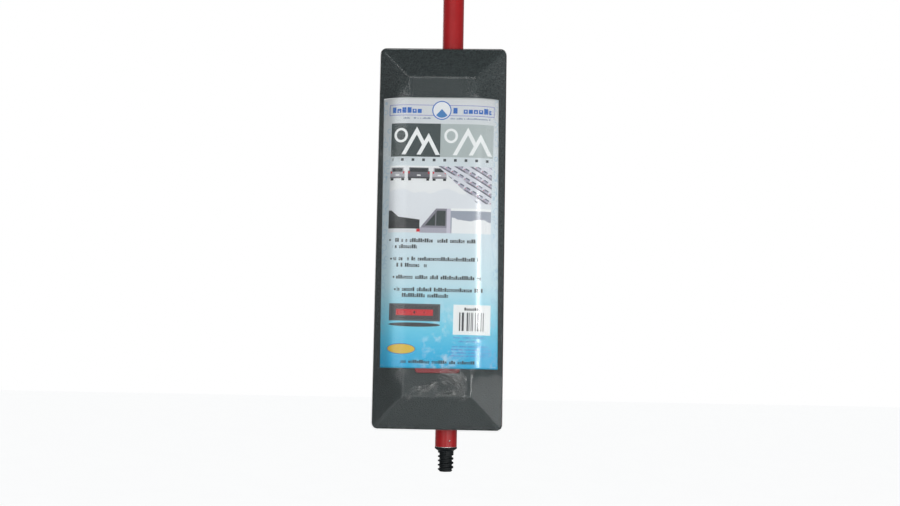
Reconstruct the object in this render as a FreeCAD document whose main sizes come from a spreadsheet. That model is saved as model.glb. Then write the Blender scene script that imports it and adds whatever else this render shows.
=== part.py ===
import FreeCAD, Part
import Sketcher
import math
import os
import re

# A foam-headed snow broom as it is sold: a flat foam head, its two clamping plates and its
# screw-in handle lie side by side in one clear shrink wrap, with a printed card on the face.
#
# Frame: millimetres, +Z up the handle, the face of the head towards -Y, +X to the viewer's
# right.  The origin is the centre of the hang hole at the top of the handle, and the handle's
# axis is the Z axis.  Every piece of the head is drawn in the head's own frame, whose origin
# is the middle of the foam, and is moved to its place by its Placement.

Vector = FreeCAD.Vector
SHEET = "Dimensions"
SCRATCH_CELL = "E1"

DIMENSIONS = [
    # alias, value, what it is
    ("head_length", 457.2, "foam head, along the handle"),
    ("head_width", 152.4, "foam head, across"),
    ("head_thickness", 38.0, "foam head, face to back"),
    ("rim_thickness", 8.0, "straight edge of the foam all round"),
    ("rim_radius", 3.0, "rounding of the straight edge"),
    ("side_bevel", 36.5, "width of the sloped sides"),
    ("end_bevel", 39.0, "width of the sloped ends"),
    ("head_corner", 6.5, "corner radius of the outline"),
    ("plateau_corner", 1.5, "corner radius of the flat face"),
    ("plate_length", 325.0, "clamping plates"),
    ("plate_width", 52.0, "clamping plates"),
    ("plate_corner", 4.0, "corner radius of the plates"),
    ("plate_thickness", 3.2, "clamping plates"),
    ("plate_edge_round", 0.8, "rounding of the plates' outer edge"),
    ("plate_sink", 0.8, "plate surface below the foam's flat face"),
    ("plate_gap", 0.3, "between a plate and the foam round it"),
    ("boss_radius", 13.5, "socket boss behind the front plate"),
    ("boss_length", 27.5, "socket boss behind the front plate"),
    ("socket_depth", 26.0, "blind threaded socket"),
    ("socket_crest_radius", 7.75, "socket thread, inner radius"),
    ("socket_root_radius", 9.65, "socket thread, outer radius"),
    ("socket_full_depth", 18.9, "part of the socket's depth that the groove runs over"),
    ("socket_mouth_radius", 10.1, "plain mouth of the socket"),
    ("socket_mouth_depth", 2.0, "plain mouth of the socket"),
    ("screw_spacing", 168.0, "between the two plate screws"),
    ("screw_radius", 2.4, "screw shank"),
    ("screw_bore_radius", 2.7, "hole for the screw shank"),
    ("screw_head_radius", 4.6, "screw head"),
    ("screw_head_height", 1.6, "screw head"),
    ("screw_seat_radius", 5.2, "recess for the screw head"),
    ("screw_seat_depth", 1.7, "recess for the screw head"),
    ("nut_across_corners", 9.24, "hexagon nut"),
    ("nut_height", 4.0, "hexagon nut"),
    ("nut_fit", 0.3, "between the nut's corners and its seat"),
    ("nut_sink", 0.6, "nut below the plate's surface"),
    ("nut_cup_radius", 6.6, "raised cup round the nut"),
    ("nut_cup_height", 5.5, "raised cup round the nut, into the foam"),
    ("handle_length", 1200.0, "tip to top"),
    ("hole_below_top", 12.0, "hang hole centre below the top of the cap"),
    ("tip_below_head", 51.3, "end of the tip below the head's lower edge"),
    ("handle_behind", 32.6, "handle axis behind the head's middle"),
    ("handle_beside", 10.0, "handle axis to the right of the head's middle"),
    ("tube_radius", 12.7, "steel tube"),
    ("tube_wall", 0.4, "steel tube"),
    ("skin_radius", 13.1, "plastic skin on the tube"),
    ("skin_gap", 0.02, "between the tube and its skin"),
    ("bare_rim", 0.5, "steel left bare at the lower end"),
    ("tip_exposed", 29.0, "part of the tip outside the tube"),
    ("tip_plug_radius", 12.26, "plug inside the tube"),
    ("tip_plug_length", 32.0, "plug inside the tube"),
    ("plug_chamfer", 1.0, "lead-in of both plugs"),
    ("tip_bore_radius", 8.0, "hollow of the plug"),
    ("tip_flange_radius", 13.3, "shoulder on the tube's end"),
    ("tip_flange_height", 1.8, "shoulder on the tube's end"),
    ("tip_cone_height", 2.8, "taper down to the thread"),
    ("thread_pitch", 5.08, "handle thread"),
    ("thread_crest_radius", 9.4, "handle thread"),
    ("thread_root_radius", 7.6, "handle thread"),
    ("ridge_crest_width", 1.5, "handle thread's ridge, along the handle at its crest"),
    ("flank_run", 0.375, "thread flanks, along the handle for each millimetre out"),
    ("flank_gap", 0.15, "between the two threads' flanks"),
    ("thread_overcut", 0.4, "groove profiles past the surface that they cut"),
    ("thread_run_in", 0.2, "thread short of the taper"),
    ("tip_end_round", 2.4, "rounded end of the tip"),
    ("dimple_radius", 1.4, "crimp dimples"),
    ("dimple_depth", 0.7, "crimp dimples"),
    ("dimple_height", 8.0, "crimp dimples above the tube's lower end"),
    ("dimple_angle", 22.0, "first dimple, turned from the face, in degrees"),
    ("cap_below_hole", 40.0, "tube's upper end below the hang hole"),
    ("cap_plug_length", 28.0, "cap's plug inside the tube"),
    ("cap_collar_radius", 13.6, "cap's collar"),
    ("cap_collar_height", 5.0, "cap's collar"),
    ("cap_collar_chamfer", 1.2, "cap's collar"),
    ("cap_shoulder_height", 12.0, "cone from the collar to the tab"),
    ("cap_shoulder_radius", 9.0, "cone from the collar to the tab, at its top"),
    ("cap_point_height", 15.0, "point of the cone inside the tab"),
    ("cap_tab_width", 24.0, "hanging tab"),
    ("cap_tab_thickness", 9.0, "hanging tab"),
    ("cap_tab_round", 1.5, "rounding of the tab's edges"),
    ("hang_hole_radius", 4.5, "hang hole"),
    ("card_height", 322.3, "printed card"),
    ("card_chord", 138.0, "printed card, across when curved"),
    ("card_thickness", 0.4, "printed card"),
    ("card_gap", 0.3, "between the card and the foam"),
    ("card_raise", 3.55, "card centre above the head's middle"),
    ("card_flat_half", 36.0, "half width of the card's flat middle"),
    ("card_bend_radius", 62.0, "curve of the card's two sides"),
    ("film_thickness", 0.3, "shrink film"),
    ("film_gap", 1.2, "between the film and the foam"),
    ("film_shoulder", 0.5, "film's fold outside the edge of the foam's rim"),
    ("film_flat_half", 57.8, "half width of the film's flat front"),
    ("film_flat_extra", 4.0, "film's flat front, longer than the foam's flat face"),
    ("film_parting", 0.2, "each film's edge from the middle plane"),
    ("film_handle_radius", 13.9, "film round the handle"),
    ("film_slot_radius", 13.7, "opening for the handle in the film's ends"),
]


def make_sheet(doc):
    """The spreadsheet of driving dimensions, one alias to a row."""
    sheet = doc.addObject("Spreadsheet::Sheet", SHEET)
    for row, (alias, value, meaning) in enumerate(DIMENSIONS, start=1):
        sheet.set(f"A{row}", alias)
        sheet.set(f"B{row}", str(value))
        sheet.set(f"C{row}", meaning)
        sheet.setAlias(f"B{row}", alias)
    doc.recompute()
    return sheet


def filled_in(expression, stand_in):
    """The expression with each alias of the sheet in it replaced by stand_in(alias)."""
    aliases = {alias for alias, _, _ in DIMENSIONS}
    return re.sub(r"[a-z]\w*", lambda word: stand_in(word[0]) if word[0] in aliases else word[0], expression)


def bound(obj, prop, expression):
    """Bind a property to the sheet: every alias in the expression is looked up there."""
    obj.setExpression(prop, filled_in(expression, lambda alias: f"{SHEET}.{alias}"))


def value_of(sheet, alias):
    return float(getattr(sheet, alias))


def plane_of(body, role):
    """One of the body's own origin planes or axes, by its role."""
    return next(feature for feature in body.Origin.OriginFeatures if feature.Role == role)


def make_body(doc, label, place="head"):
    """A new body, placed with the head's pieces, or at the handle's own frame."""
    body = doc.addObject("PartDesign::Body", label)
    body.Label = label
    if place == "head":
        bound(body, "Placement.Base.x", "0 - handle_beside")
        bound(body, "Placement.Base.y", "0 - handle_behind")
        bound(body, "Placement.Base.z", HEAD_HEIGHT)
    return body


SMALLEST_CUT = 1e-3
TOUCH = 1e-3
BESIDE_CORNER = 0.1
PAST_MIDDLE = "( 0 - 1 )"

HANDLE_END = "( hole_below_top - handle_length )"
TUBE_END = f"( {HANDLE_END} + tip_exposed )"
HEAD_HEIGHT = f"( {HANDLE_END} + tip_below_head + head_length / 2 )"
FRONT = "head_thickness / 2"
RECESS = "( plate_sink + plate_thickness + plate_gap / 2 )"


def make_sketch(body, name, role, offset="0"):
    """A sketch on one of the body's origin planes, moved along the plane's normal by an expression."""
    sketch = body.newObject("Sketcher::SketchObject", name)
    sketch.AttachmentSupport = [(plane_of(body, role), "")]
    sketch.MapMode = "FlatFace"
    bound(sketch, "AttachmentOffset.Base.z", offset)
    return sketch


def datum(sketch, kind, *where, size):
    """A dimensional constraint whose size is an expression of the sheet."""
    index = sketch.addConstraint(Sketcher.Constraint(kind, *where, number(size, sketch.Document)))
    bound(sketch, f"Constraints[{index}]", size)


def rectangle(body, name, role, width, height, corner, offset="0"):
    """A sketch with one round-cornered rectangle about the origin."""
    sketch = make_sketch(body, name, role, offset)
    w, h = number(width, body.Document) / 2, number(height, body.Document) / 2
    r = number(corner, body.Document)
    corners = [(w, h, 0), (-w, h, 90), (-w, -h, 180), (w, -h, 270)]
    centres = [Vector(x - math.copysign(r, x), y - math.copysign(r, y), 0) for x, y, _ in corners]
    for (x, y, start), centre in zip(corners, centres):
        circle = Part.Circle(centre, Vector(0, 0, 1), r)
        sketch.addGeometry(Part.ArcOfCircle(circle, math.radians(start), math.radians(start + 90)))
    top, left, bottom, right = 4, 5, 6, 7
    sketch.addGeometry(Part.LineSegment(Vector(w - r, h, 0), Vector(r - w, h, 0)))
    sketch.addGeometry(Part.LineSegment(Vector(-w, h - r, 0), Vector(-w, r - h, 0)))
    sketch.addGeometry(Part.LineSegment(Vector(r - w, -h, 0), Vector(w - r, -h, 0)))
    sketch.addGeometry(Part.LineSegment(Vector(w, r - h, 0), Vector(w, h - r, 0)))
    for arc, line in zip(range(4), (top, left, bottom, right)):
        following = (arc + 1) % 4
        sketch.addConstraint(Sketcher.Constraint("Tangent", arc, 2, line, 1))
        sketch.addConstraint(Sketcher.Constraint("Tangent", line, 2, following, 1))
        if following:
            sketch.addConstraint(Sketcher.Constraint("Equal", arc, following))
    sketch.addConstraint(Sketcher.Constraint("Horizontal", top))
    sketch.addConstraint(Sketcher.Constraint("Vertical", left))
    sketch.addConstraint(Sketcher.Constraint("Symmetric", 0, 3, 2, 3, -1, 1))
    datum(sketch, "DistanceX", left, 1, right, 1, size=width)
    datum(sketch, "DistanceY", bottom, 1, top, 1, size=height)
    datum(sketch, "Radius", 0, size=corner)
    return sketch


def circle(body, name, role, radius, across="0", up="0", offset="0"):
    """A sketch with one circle; across and up place its centre."""
    sketch = make_sketch(body, name, role, offset)
    centre = Vector(number(across, body.Document), number(up, body.Document), 0)
    sketch.addGeometry(Part.Circle(centre, Vector(0, 0, 1), number(radius, body.Document)))
    datum(sketch, "Radius", 0, size=radius)
    for kind, axis, along, size in (("DistanceX", -2, across, centre.x), ("DistanceY", -1, up, centre.y)):
        if abs(size) < 1e-9:
            sketch.addConstraint(Sketcher.Constraint("PointOnObject", 0, 3, axis))
        else:
            datum(sketch, kind, 0, 3, size=along)
    return sketch


def outline(body, name, role, points, offset="0"):
    """A closed sketch of straight lines.  Each point is a pair of expressions, held by two datums."""
    sketch = make_sketch(body, name, role, offset)
    places = [Vector(*(number(text, body.Document) for text in point), 0) for point in points]
    for start, end in zip(places, places[1:] + places[:1]):
        sketch.addGeometry(Part.LineSegment(start, end))
    count = len(points)
    for line in range(count):
        sketch.addConstraint(Sketcher.Constraint("Coincident", line, 2, (line + 1) % count, 1))
    for line, (point, place) in enumerate(zip(points, places)):
        for kind, text, size in (("DistanceX", point[0], place.x), ("DistanceY", point[1], place.y)):
            if abs(size) < 1e-9:
                axis = -2 if kind == "DistanceX" else -1
                sketch.addConstraint(Sketcher.Constraint("PointOnObject", line, 1, axis))
                continue
            datum(sketch, kind, line, 1, size=text)
    return sketch


def number(text, doc):
    """The value of an expression of the sheet, worked out on a scratch cell."""
    sheet = doc.getObject(SHEET)
    total = filled_in(text, lambda alias: str(value_of(sheet, alias)))
    sheet.set(SCRATCH_CELL, "=" + total)
    sheet.recompute()
    return float(sheet.get(SCRATCH_CELL))


def pad(body, sketch, name, length, midplane=False, reverse=False):
    feature = body.newObject("PartDesign::Pad", name)
    feature.Profile = sketch
    bound(feature, "Length", length)
    feature.Midplane = midplane
    feature.Reversed = reverse
    return feature


def cut(body, sketch, name, depth, reverse=False, midplane=False):
    """A pocket that must take material away: the body's volume is compared."""
    body.Document.recompute()
    before = body.Tip.Shape.Volume
    feature = body.newObject("PartDesign::Pocket", name)
    feature.Profile = sketch
    bound(feature, "Length", depth)
    feature.Reversed = reverse
    feature.Midplane = midplane
    body.Document.recompute()
    if not feature.Shape.Volume < before - SMALLEST_CUT:
        raise RuntimeError(f"{body.Label}: {name} cuts nothing")
    return feature


def loft(body, first, last, name, subtractive=False):
    kind = "PartDesign::SubtractiveLoft" if subtractive else "PartDesign::AdditiveLoft"
    feature = body.newObject(kind, name)
    feature.Profile = first
    feature.Sections = [last]
    feature.Ruled = True
    return feature


def revolve(body, sketch, name):
    """A full turn of a sketch about its own vertical axis."""
    feature = body.newObject("PartDesign::Revolution", name)
    feature.Profile = sketch
    feature.ReferenceAxis = (sketch, ["V_Axis"])
    feature.Angle = 360
    return feature


def fillet(body, name, radius, chosen):
    """Round the edges of the body's tip for which chosen(edge) is true."""
    body.Document.recompute()
    base = body.Tip
    names = [f"Edge{i}" for i, edge in enumerate(base.Shape.Edges, start=1) if chosen(edge)]
    feature = body.newObject("PartDesign::Fillet", name)
    feature.Base = (base, names)
    bound(feature, "Radius", radius)
    return feature


def flat_in(edge, axis, place):
    """True if the whole edge lies at this place along x, y or z."""
    box = edge.BoundBox
    low, high = getattr(box, axis + "Min"), getattr(box, axis + "Max")
    return abs(low - place) < TOUCH and abs(high - place) < TOUCH


def helix_cut(body, sketch, name, height):
    """A thread groove: the sketch is carried round the sketch's vertical axis."""
    body.Document.recompute()
    before = body.Tip.Shape.Volume
    feature = body.newObject("PartDesign::SubtractiveHelix", name)
    feature.Profile = sketch
    feature.ReferenceAxis = (sketch, ["V_Axis"])
    feature.Mode = "pitch-height-angle"
    bound(feature, "Pitch", "thread_pitch")
    bound(feature, "Height", height)
    body.Document.recompute()
    if not feature.Shape.Volume < before - SMALLEST_CUT:
        raise RuntimeError(f"{body.Label}: {name} cuts nothing")
    return feature


def make_foam_head(doc, sheet):
    """The foam slab: a straight rim, a low pyramid front and back, pockets for the plates."""
    body = make_body(doc, "foam_head")
    rim = rectangle(body, "RimOutline", "XZ_Plane", "head_width", "head_length", "head_corner")
    pad(body, rim, "Rim", "rim_thickness", midplane=True)
    flat_size = ("head_width - 2 * side_bevel", "head_length - 2 * end_bevel", "plateau_corner")
    for side, sign in (("Front", ""), ("Back", "0 - ")):
        base = rectangle(body, side + "Base", "XZ_Plane", "head_width", "head_length", "head_corner",
                         offset=sign + "rim_thickness / 2")
        flat = rectangle(body, side + "Flat", "XZ_Plane", *flat_size, offset=sign + FRONT)
        loft(body, base, flat, side + "Bevels")
    rim_edge = value_of(sheet, "rim_thickness") / 2
    fillet(body, "RimRounding", "rim_radius",
           lambda edge: flat_in(edge, "Y", rim_edge) or flat_in(edge, "Y", -rim_edge))
    for side, sign, reverse in (("Front", "", False), ("Back", "0 - ", True)):
        recess = rectangle(body, side + "PlateOutline", "XZ_Plane", "plate_width + 2 * plate_gap",
                           "plate_length + 2 * plate_gap", "plate_corner + plate_gap",
                           offset=sign + FRONT)
        cut(body, recess, side + "PlatePocket", RECESS, reverse=reverse)
    bore = circle(body, "BossBoreCircle", "XZ_Plane", "boss_radius + plate_gap", offset=FRONT)
    cut(body, bore, "BossBore", "head_thickness")
    for side, sign in (("Upper", ""), ("Lower", "0 - ")):
        hole = circle(body, side + "ScrewCircle", "XZ_Plane", "nut_cup_radius + plate_gap",
                      up=sign + "screw_spacing / 2", offset=FRONT)
        cut(body, hole, side + "ScrewBore", "head_thickness")
    return body


def make_plate(doc, label, facing):
    """A flat plate sunk in the foam.  facing is "" for the front plate, "0 - " for the back one."""
    body = make_body(doc, label)
    sketch = rectangle(body, "PlateOutline", "XZ_Plane", "plate_width", "plate_length", "plate_corner",
                       offset=f"{facing}( {FRONT} - plate_sink )")
    pad(body, sketch, "Plate", "plate_thickness", reverse=not facing)
    return body


def round_plate_edge(body, sheet, sign):
    face = sign * (value_of(sheet, "head_thickness") / 2 - value_of(sheet, "plate_sink"))
    half = value_of(sheet, "plate_width") / 2 - value_of(sheet, "plate_corner") - BESIDE_CORNER

    def outer(edge):
        reach = max(abs(edge.BoundBox.XMin), abs(edge.BoundBox.XMax))
        return flat_in(edge, "Y", face) and reach > half

    fillet(body, "EdgeRounding", "plate_edge_round", outer)


def make_socket_plate(doc, sheet):
    """The front plate, with the threaded socket for the handle in a boss behind it."""
    body = make_plate(doc, "socket_plate", "")
    doc.recompute()
    round_plate_edge(body, sheet, -1)
    plate_back = f"( {FRONT} - plate_sink - plate_thickness )"
    boss = circle(body, "BossCircle", "XZ_Plane", "boss_radius", offset=plate_back)
    pad(body, boss, "Boss", "boss_length", reverse=True)
    for side, sign in (("Upper", ""), ("Lower", "0 - ")):
        post = circle(body, side + "PostCircle", "XZ_Plane", "nut_cup_radius",
                      up=sign + "screw_spacing / 2", offset=plate_back)
        pad(body, post, side + "Post", "nut_cup_height", reverse=True)
    face = f"( {FRONT} - plate_sink )"
    pilot = circle(body, "SocketCircle", "XZ_Plane", "socket_crest_radius", offset=face)
    cut(body, pilot, "SocketBore", "socket_depth")
    mouth = circle(body, "MouthCircle", "XZ_Plane", "socket_mouth_radius", offset=face)
    cut(body, mouth, "SocketMouth", "socket_mouth_depth")
    for side, sign in (("Upper", ""), ("Lower", "0 - ")):
        height = sign + "screw_spacing / 2"
        seat = circle(body, side + "SeatCircle", "XZ_Plane", "screw_seat_radius", up=height, offset=face)
        cut(body, seat, side + "Seat", "screw_seat_depth")
        hole = circle(body, side + "BoreCircle", "XZ_Plane", "screw_bore_radius", up=height, offset=face)
        cut(body, hole, side + "Bore", "head_thickness")
    add_socket_thread(body)
    return body


def groove_profile(body, name, role, middle, near, far, half_near, half_far):
    """A thread groove's section: symmetrical about a height, between two radii."""
    return outline(body, name, role, [
        (near, f"{middle} - {half_near}"),
        (far, f"{middle} - {half_far}"),
        (far, f"{middle} + {half_far}"),
        (near, f"{middle} + {half_near}"),
    ])


def add_socket_thread(body):
    """The socket's groove, wider than the handle's ridge by the flank gap on each side."""
    near = "( socket_crest_radius - thread_overcut )"
    half = "( ridge_crest_width / 2 + flank_gap + flank_run * ( thread_crest_radius - {} ) )"
    middle = f"( 0 - ( {FRONT} - plate_sink ) - thread_pitch / 4 )"
    profile = groove_profile(body, "SocketThreadProfile", "XY_Plane", middle, near, "socket_root_radius",
                             half.format(near), half.format("socket_root_radius"))
    helix_cut(body, profile, "SocketThread", "socket_full_depth")


def make_back_plate(doc, sheet):
    """The rear plate, with a cup for each nut."""
    body = make_plate(doc, "back_plate", "0 - ")
    doc.recompute()
    round_plate_edge(body, sheet, 1)
    face = f"0 - ( {FRONT} - plate_sink )"
    inner = f"0 - ( {FRONT} - plate_sink - plate_thickness )"
    for side, sign in (("Upper", ""), ("Lower", "0 - ")):
        height = sign + "screw_spacing / 2"
        cup = circle(body, side + "CupCircle", "XZ_Plane", "nut_cup_radius", up=height, offset=inner)
        pad(body, cup, side + "Cup", "nut_cup_height")
        seat = circle(body, side + "NutSeatCircle", "XZ_Plane", "nut_across_corners / 2 + nut_fit",
                      up=height, offset=face)
        cut(body, seat, side + "NutSeat", "nut_height + nut_sink", reverse=True)
        hole = circle(body, side + "BoreCircle", "XZ_Plane", "screw_bore_radius", up=height, offset=face)
        cut(body, hole, side + "Bore", "head_thickness", reverse=True)
    return body


def grouped(doc, label, members):
    """Separate solids that share one node, placed with the head."""
    group = doc.addObject("Part::Compound", label)
    group.Label = label
    group.Links = members
    bound(group, "Placement.Base.x", "0 - handle_beside")
    bound(group, "Placement.Base.y", "0 - handle_behind")
    bound(group, "Placement.Base.z", HEAD_HEIGHT)
    return group


SCREW_HEAD_BACK = f"( {FRONT} - plate_sink - screw_seat_depth )"
NUT_OUTER_FACE = f"( {FRONT} - plate_sink - nut_sink )"


def cylinder(doc, name, radius, height, start, up):
    """A Part cylinder along +Y from an expression for its start, at a height along Z."""
    item = doc.addObject("Part::Cylinder", name)
    bound(item, "Radius", radius)
    bound(item, "Height", height)
    item.Placement.Rotation = FreeCAD.Rotation(Vector(1, 0, 0), -90)
    bound(item, "Placement.Base.y", start)
    bound(item, "Placement.Base.z", up)
    return item


def make_plate_screws(doc):
    """Two pan-head machine screws from the front plate to the nuts, with a slot in each head."""
    screws = []
    for side, sign in (("Upper", ""), ("Lower", "0 - ")):
        up = sign + "screw_spacing / 2"
        head = cylinder(doc, side + "ScrewHead", "screw_head_radius", "screw_head_height",
                        f"0 - {SCREW_HEAD_BACK} - screw_head_height", up)
        shank = cylinder(doc, side + "ScrewShank", "screw_radius",
                         f"{SCREW_HEAD_BACK} + {NUT_OUTER_FACE}", f"0 - {SCREW_HEAD_BACK}", up)
        whole = doc.addObject("Part::Fuse", side + "ScrewBlank")
        whole.Base, whole.Tool = head, shank
        slot = doc.addObject("Part::Box", side + "ScrewSlot")
        bound(slot, "Length", "2 * screw_head_radius + 2")
        bound(slot, "Width", "screw_head_height / 2 + 1")
        bound(slot, "Height", "screw_radius / 2")
        bound(slot, "Placement.Base.x", "0 - screw_head_radius - 1")
        bound(slot, "Placement.Base.y", f"0 - {SCREW_HEAD_BACK} - screw_head_height - 1")
        bound(slot, "Placement.Base.z", f"{up} - screw_radius / 4")
        screw = doc.addObject("Part::Cut", side + "Screw")
        screw.Base, screw.Tool = whole, slot
        screws.append(screw)
    return grouped(doc, "plate_screws", screws)


def make_plate_nuts(doc):
    """Two hexagon nuts in the cups of the rear plate."""
    nuts = []
    for side, sign in (("Upper", ""), ("Lower", "0 - ")):
        up = sign + "screw_spacing / 2"
        start = f"{NUT_OUTER_FACE} - nut_height"
        blank = doc.addObject("Part::Prism", side + "NutBlank")
        blank.Polygon = 6
        bound(blank, "Circumradius", "nut_across_corners / 2")
        bound(blank, "Height", "nut_height")
        blank.Placement.Rotation = FreeCAD.Rotation(Vector(1, 0, 0), -90)
        bound(blank, "Placement.Base.y", start)
        bound(blank, "Placement.Base.z", up)
        hole = cylinder(doc, side + "NutHole", "screw_radius + 0.03", "nut_height + 2",
                        f"{start} - 1", up)
        nut = doc.addObject("Part::Cut", side + "Nut")
        nut.Base, nut.Tool = blank, hole
        nuts.append(nut)
    return grouped(doc, "plate_nuts", nuts)


def make_pipe(doc, name, outer, inner, bottom, top):
    """A plain tube about the Z axis, between two heights."""
    body = make_body(doc, name, place="handle")
    sketch = make_sketch(body, "Ring", "XY_Plane", bottom)
    for index, radius in enumerate((outer, inner)):
        sketch.addGeometry(Part.Circle(Vector(0, 0, 0), Vector(0, 0, 1), number(radius, doc)))
        sketch.addConstraint(Sketcher.Constraint("Coincident", index, 3, -1, 1))
        datum(sketch, "Radius", index, size=radius)
    pad(body, sketch, "Wall", f"( {top} ) - ( {bottom} )")
    return body


def make_dimples(doc, owner):
    """The four crimp dimples as shallow balls, ready to be cut from the tube or its skin."""
    balls = []
    reach = "( skin_radius - dimple_depth + dimple_radius )"
    for turn in range(4):
        angle = f"( ( dimple_angle + {90 * turn} ) * 1deg )"
        ball = doc.addObject("Part::Sphere", f"{owner}Dimple{turn + 1}")
        bound(ball, "Radius", "dimple_radius")
        bound(ball, "Placement.Base.x", f"{reach} * sin{angle}")
        bound(ball, "Placement.Base.y", f"0 - {reach} * cos{angle}")
        bound(ball, "Placement.Base.z", f"{TUBE_END} + dimple_height")
        balls.append(ball)
    tool = doc.addObject("Part::MultiFuse", owner + "Dimples")
    tool.Shapes = balls
    return tool


def dimpled(doc, label, blank, tool):
    whole = doc.addObject("Part::Cut", label)
    whole.Label = label
    whole.Base, whole.Tool = blank, tool
    return whole


def make_handle_tube(doc):
    """The steel tube, crimped on the tip near its lower end."""
    blank = make_pipe(doc, "TubeBlank", "tube_radius", "tube_radius - tube_wall", TUBE_END,
                      "0 - cap_below_hole")
    return dimpled(doc, "handle_tube", blank, make_dimples(doc, "Tube"))


def make_handle_sleeve(doc):
    """The plastic skin on the tube, which stops just short of the tube's lower rim."""
    blank = make_pipe(doc, "SkinBlank", "skin_radius", "tube_radius + skin_gap",
                      f"{TUBE_END} + bare_rim", "0 - cap_below_hole")
    return dimpled(doc, "handle_sleeve", blank, make_dimples(doc, "Skin"))


def make_threaded_tip(doc):
    """The plastic tip: a hollow plug in the tube, a shoulder, a taper and a coarse thread."""
    body = make_body(doc, "threaded_tip", place="handle")
    taper_top = f"{TUBE_END} - tip_flange_height"
    taper_end = f"{taper_top} - tip_cone_height"
    profile = outline(body, "TipProfile", "XZ_Plane", [
        ("0", HANDLE_END),
        ("thread_crest_radius - tip_end_round", HANDLE_END),
        ("thread_crest_radius", f"{HANDLE_END} + tip_end_round"),
        ("thread_crest_radius", taper_end),
        ("tip_flange_radius", taper_top),
        ("tip_flange_radius", TUBE_END),
        ("tip_plug_radius", TUBE_END),
        ("tip_plug_radius", f"{TUBE_END} + tip_plug_length - plug_chamfer"),
        ("tip_plug_radius - plug_chamfer", f"{TUBE_END} + tip_plug_length"),
        ("tip_bore_radius", f"{TUBE_END} + tip_plug_length"),
        ("tip_bore_radius", f"{TUBE_END} + tip_flange_height"),
        ("0", f"{TUBE_END} + tip_flange_height"),
    ])
    revolve(body, profile, "TipBlank")
    beyond = "( thread_crest_radius + thread_overcut )"
    half = "( ( thread_pitch - ridge_crest_width ) / 2 - flank_run * ( thread_crest_radius - {} ) )"
    middle = f"( {HANDLE_END} - thread_pitch / 2 )"
    groove = groove_profile(body, "ThreadProfile", "XZ_Plane", middle, "thread_root_radius", beyond,
                            half.format("thread_root_radius"), half.format(beyond))
    helix_cut(body, groove, "Thread", "tip_exposed - tip_flange_height - tip_cone_height - thread_run_in")
    return body


def make_hanger_cap(doc, sheet):
    """The plastic cap in the top of the tube: a plug, a collar, a shoulder and a tab with the hang hole."""
    body = make_body(doc, "hanger_cap", place="handle")
    tab = rectangle(body, "TabOutline", "XZ_Plane", "cap_tab_width", "hole_below_top + cap_below_hole",
                    "cap_tab_width / 2 - 0.05")
    bound(tab, "AttachmentOffset.Base.y", "( hole_below_top - cap_below_hole ) / 2")
    pad(body, tab, "Tab", "cap_tab_thickness", midplane=True)
    tab_face = value_of(sheet, "cap_tab_thickness") / 2
    fillet(body, "TabRounding", "cap_tab_round",
           lambda edge: flat_in(edge, "Y", tab_face) or flat_in(edge, "Y", -tab_face))
    tube_top = "0 - cap_below_hole"
    collar_top = f"{tube_top} + cap_collar_height"
    profile = outline(body, "CapProfile", "XZ_Plane", [
        ("0", f"{tube_top} - cap_plug_length"),
        ("tip_plug_radius - plug_chamfer", f"{tube_top} - cap_plug_length"),
        ("tip_plug_radius", f"{tube_top} - cap_plug_length + plug_chamfer"),
        ("tip_plug_radius", tube_top),
        ("cap_collar_radius", tube_top),
        ("cap_collar_radius", collar_top),
        ("cap_collar_radius - cap_collar_chamfer", f"{collar_top} + cap_collar_chamfer"),
        ("cap_shoulder_radius", f"{collar_top} + cap_shoulder_height"),
        ("0", f"{collar_top} + cap_point_height"),
    ])
    revolve(body, profile, "CapBlank")
    hole = circle(body, "HangHoleCircle", "XZ_Plane", "hang_hole_radius")
    cut(body, hole, "HangHole", "2 * cap_collar_radius", midplane=True)
    return body


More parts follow.
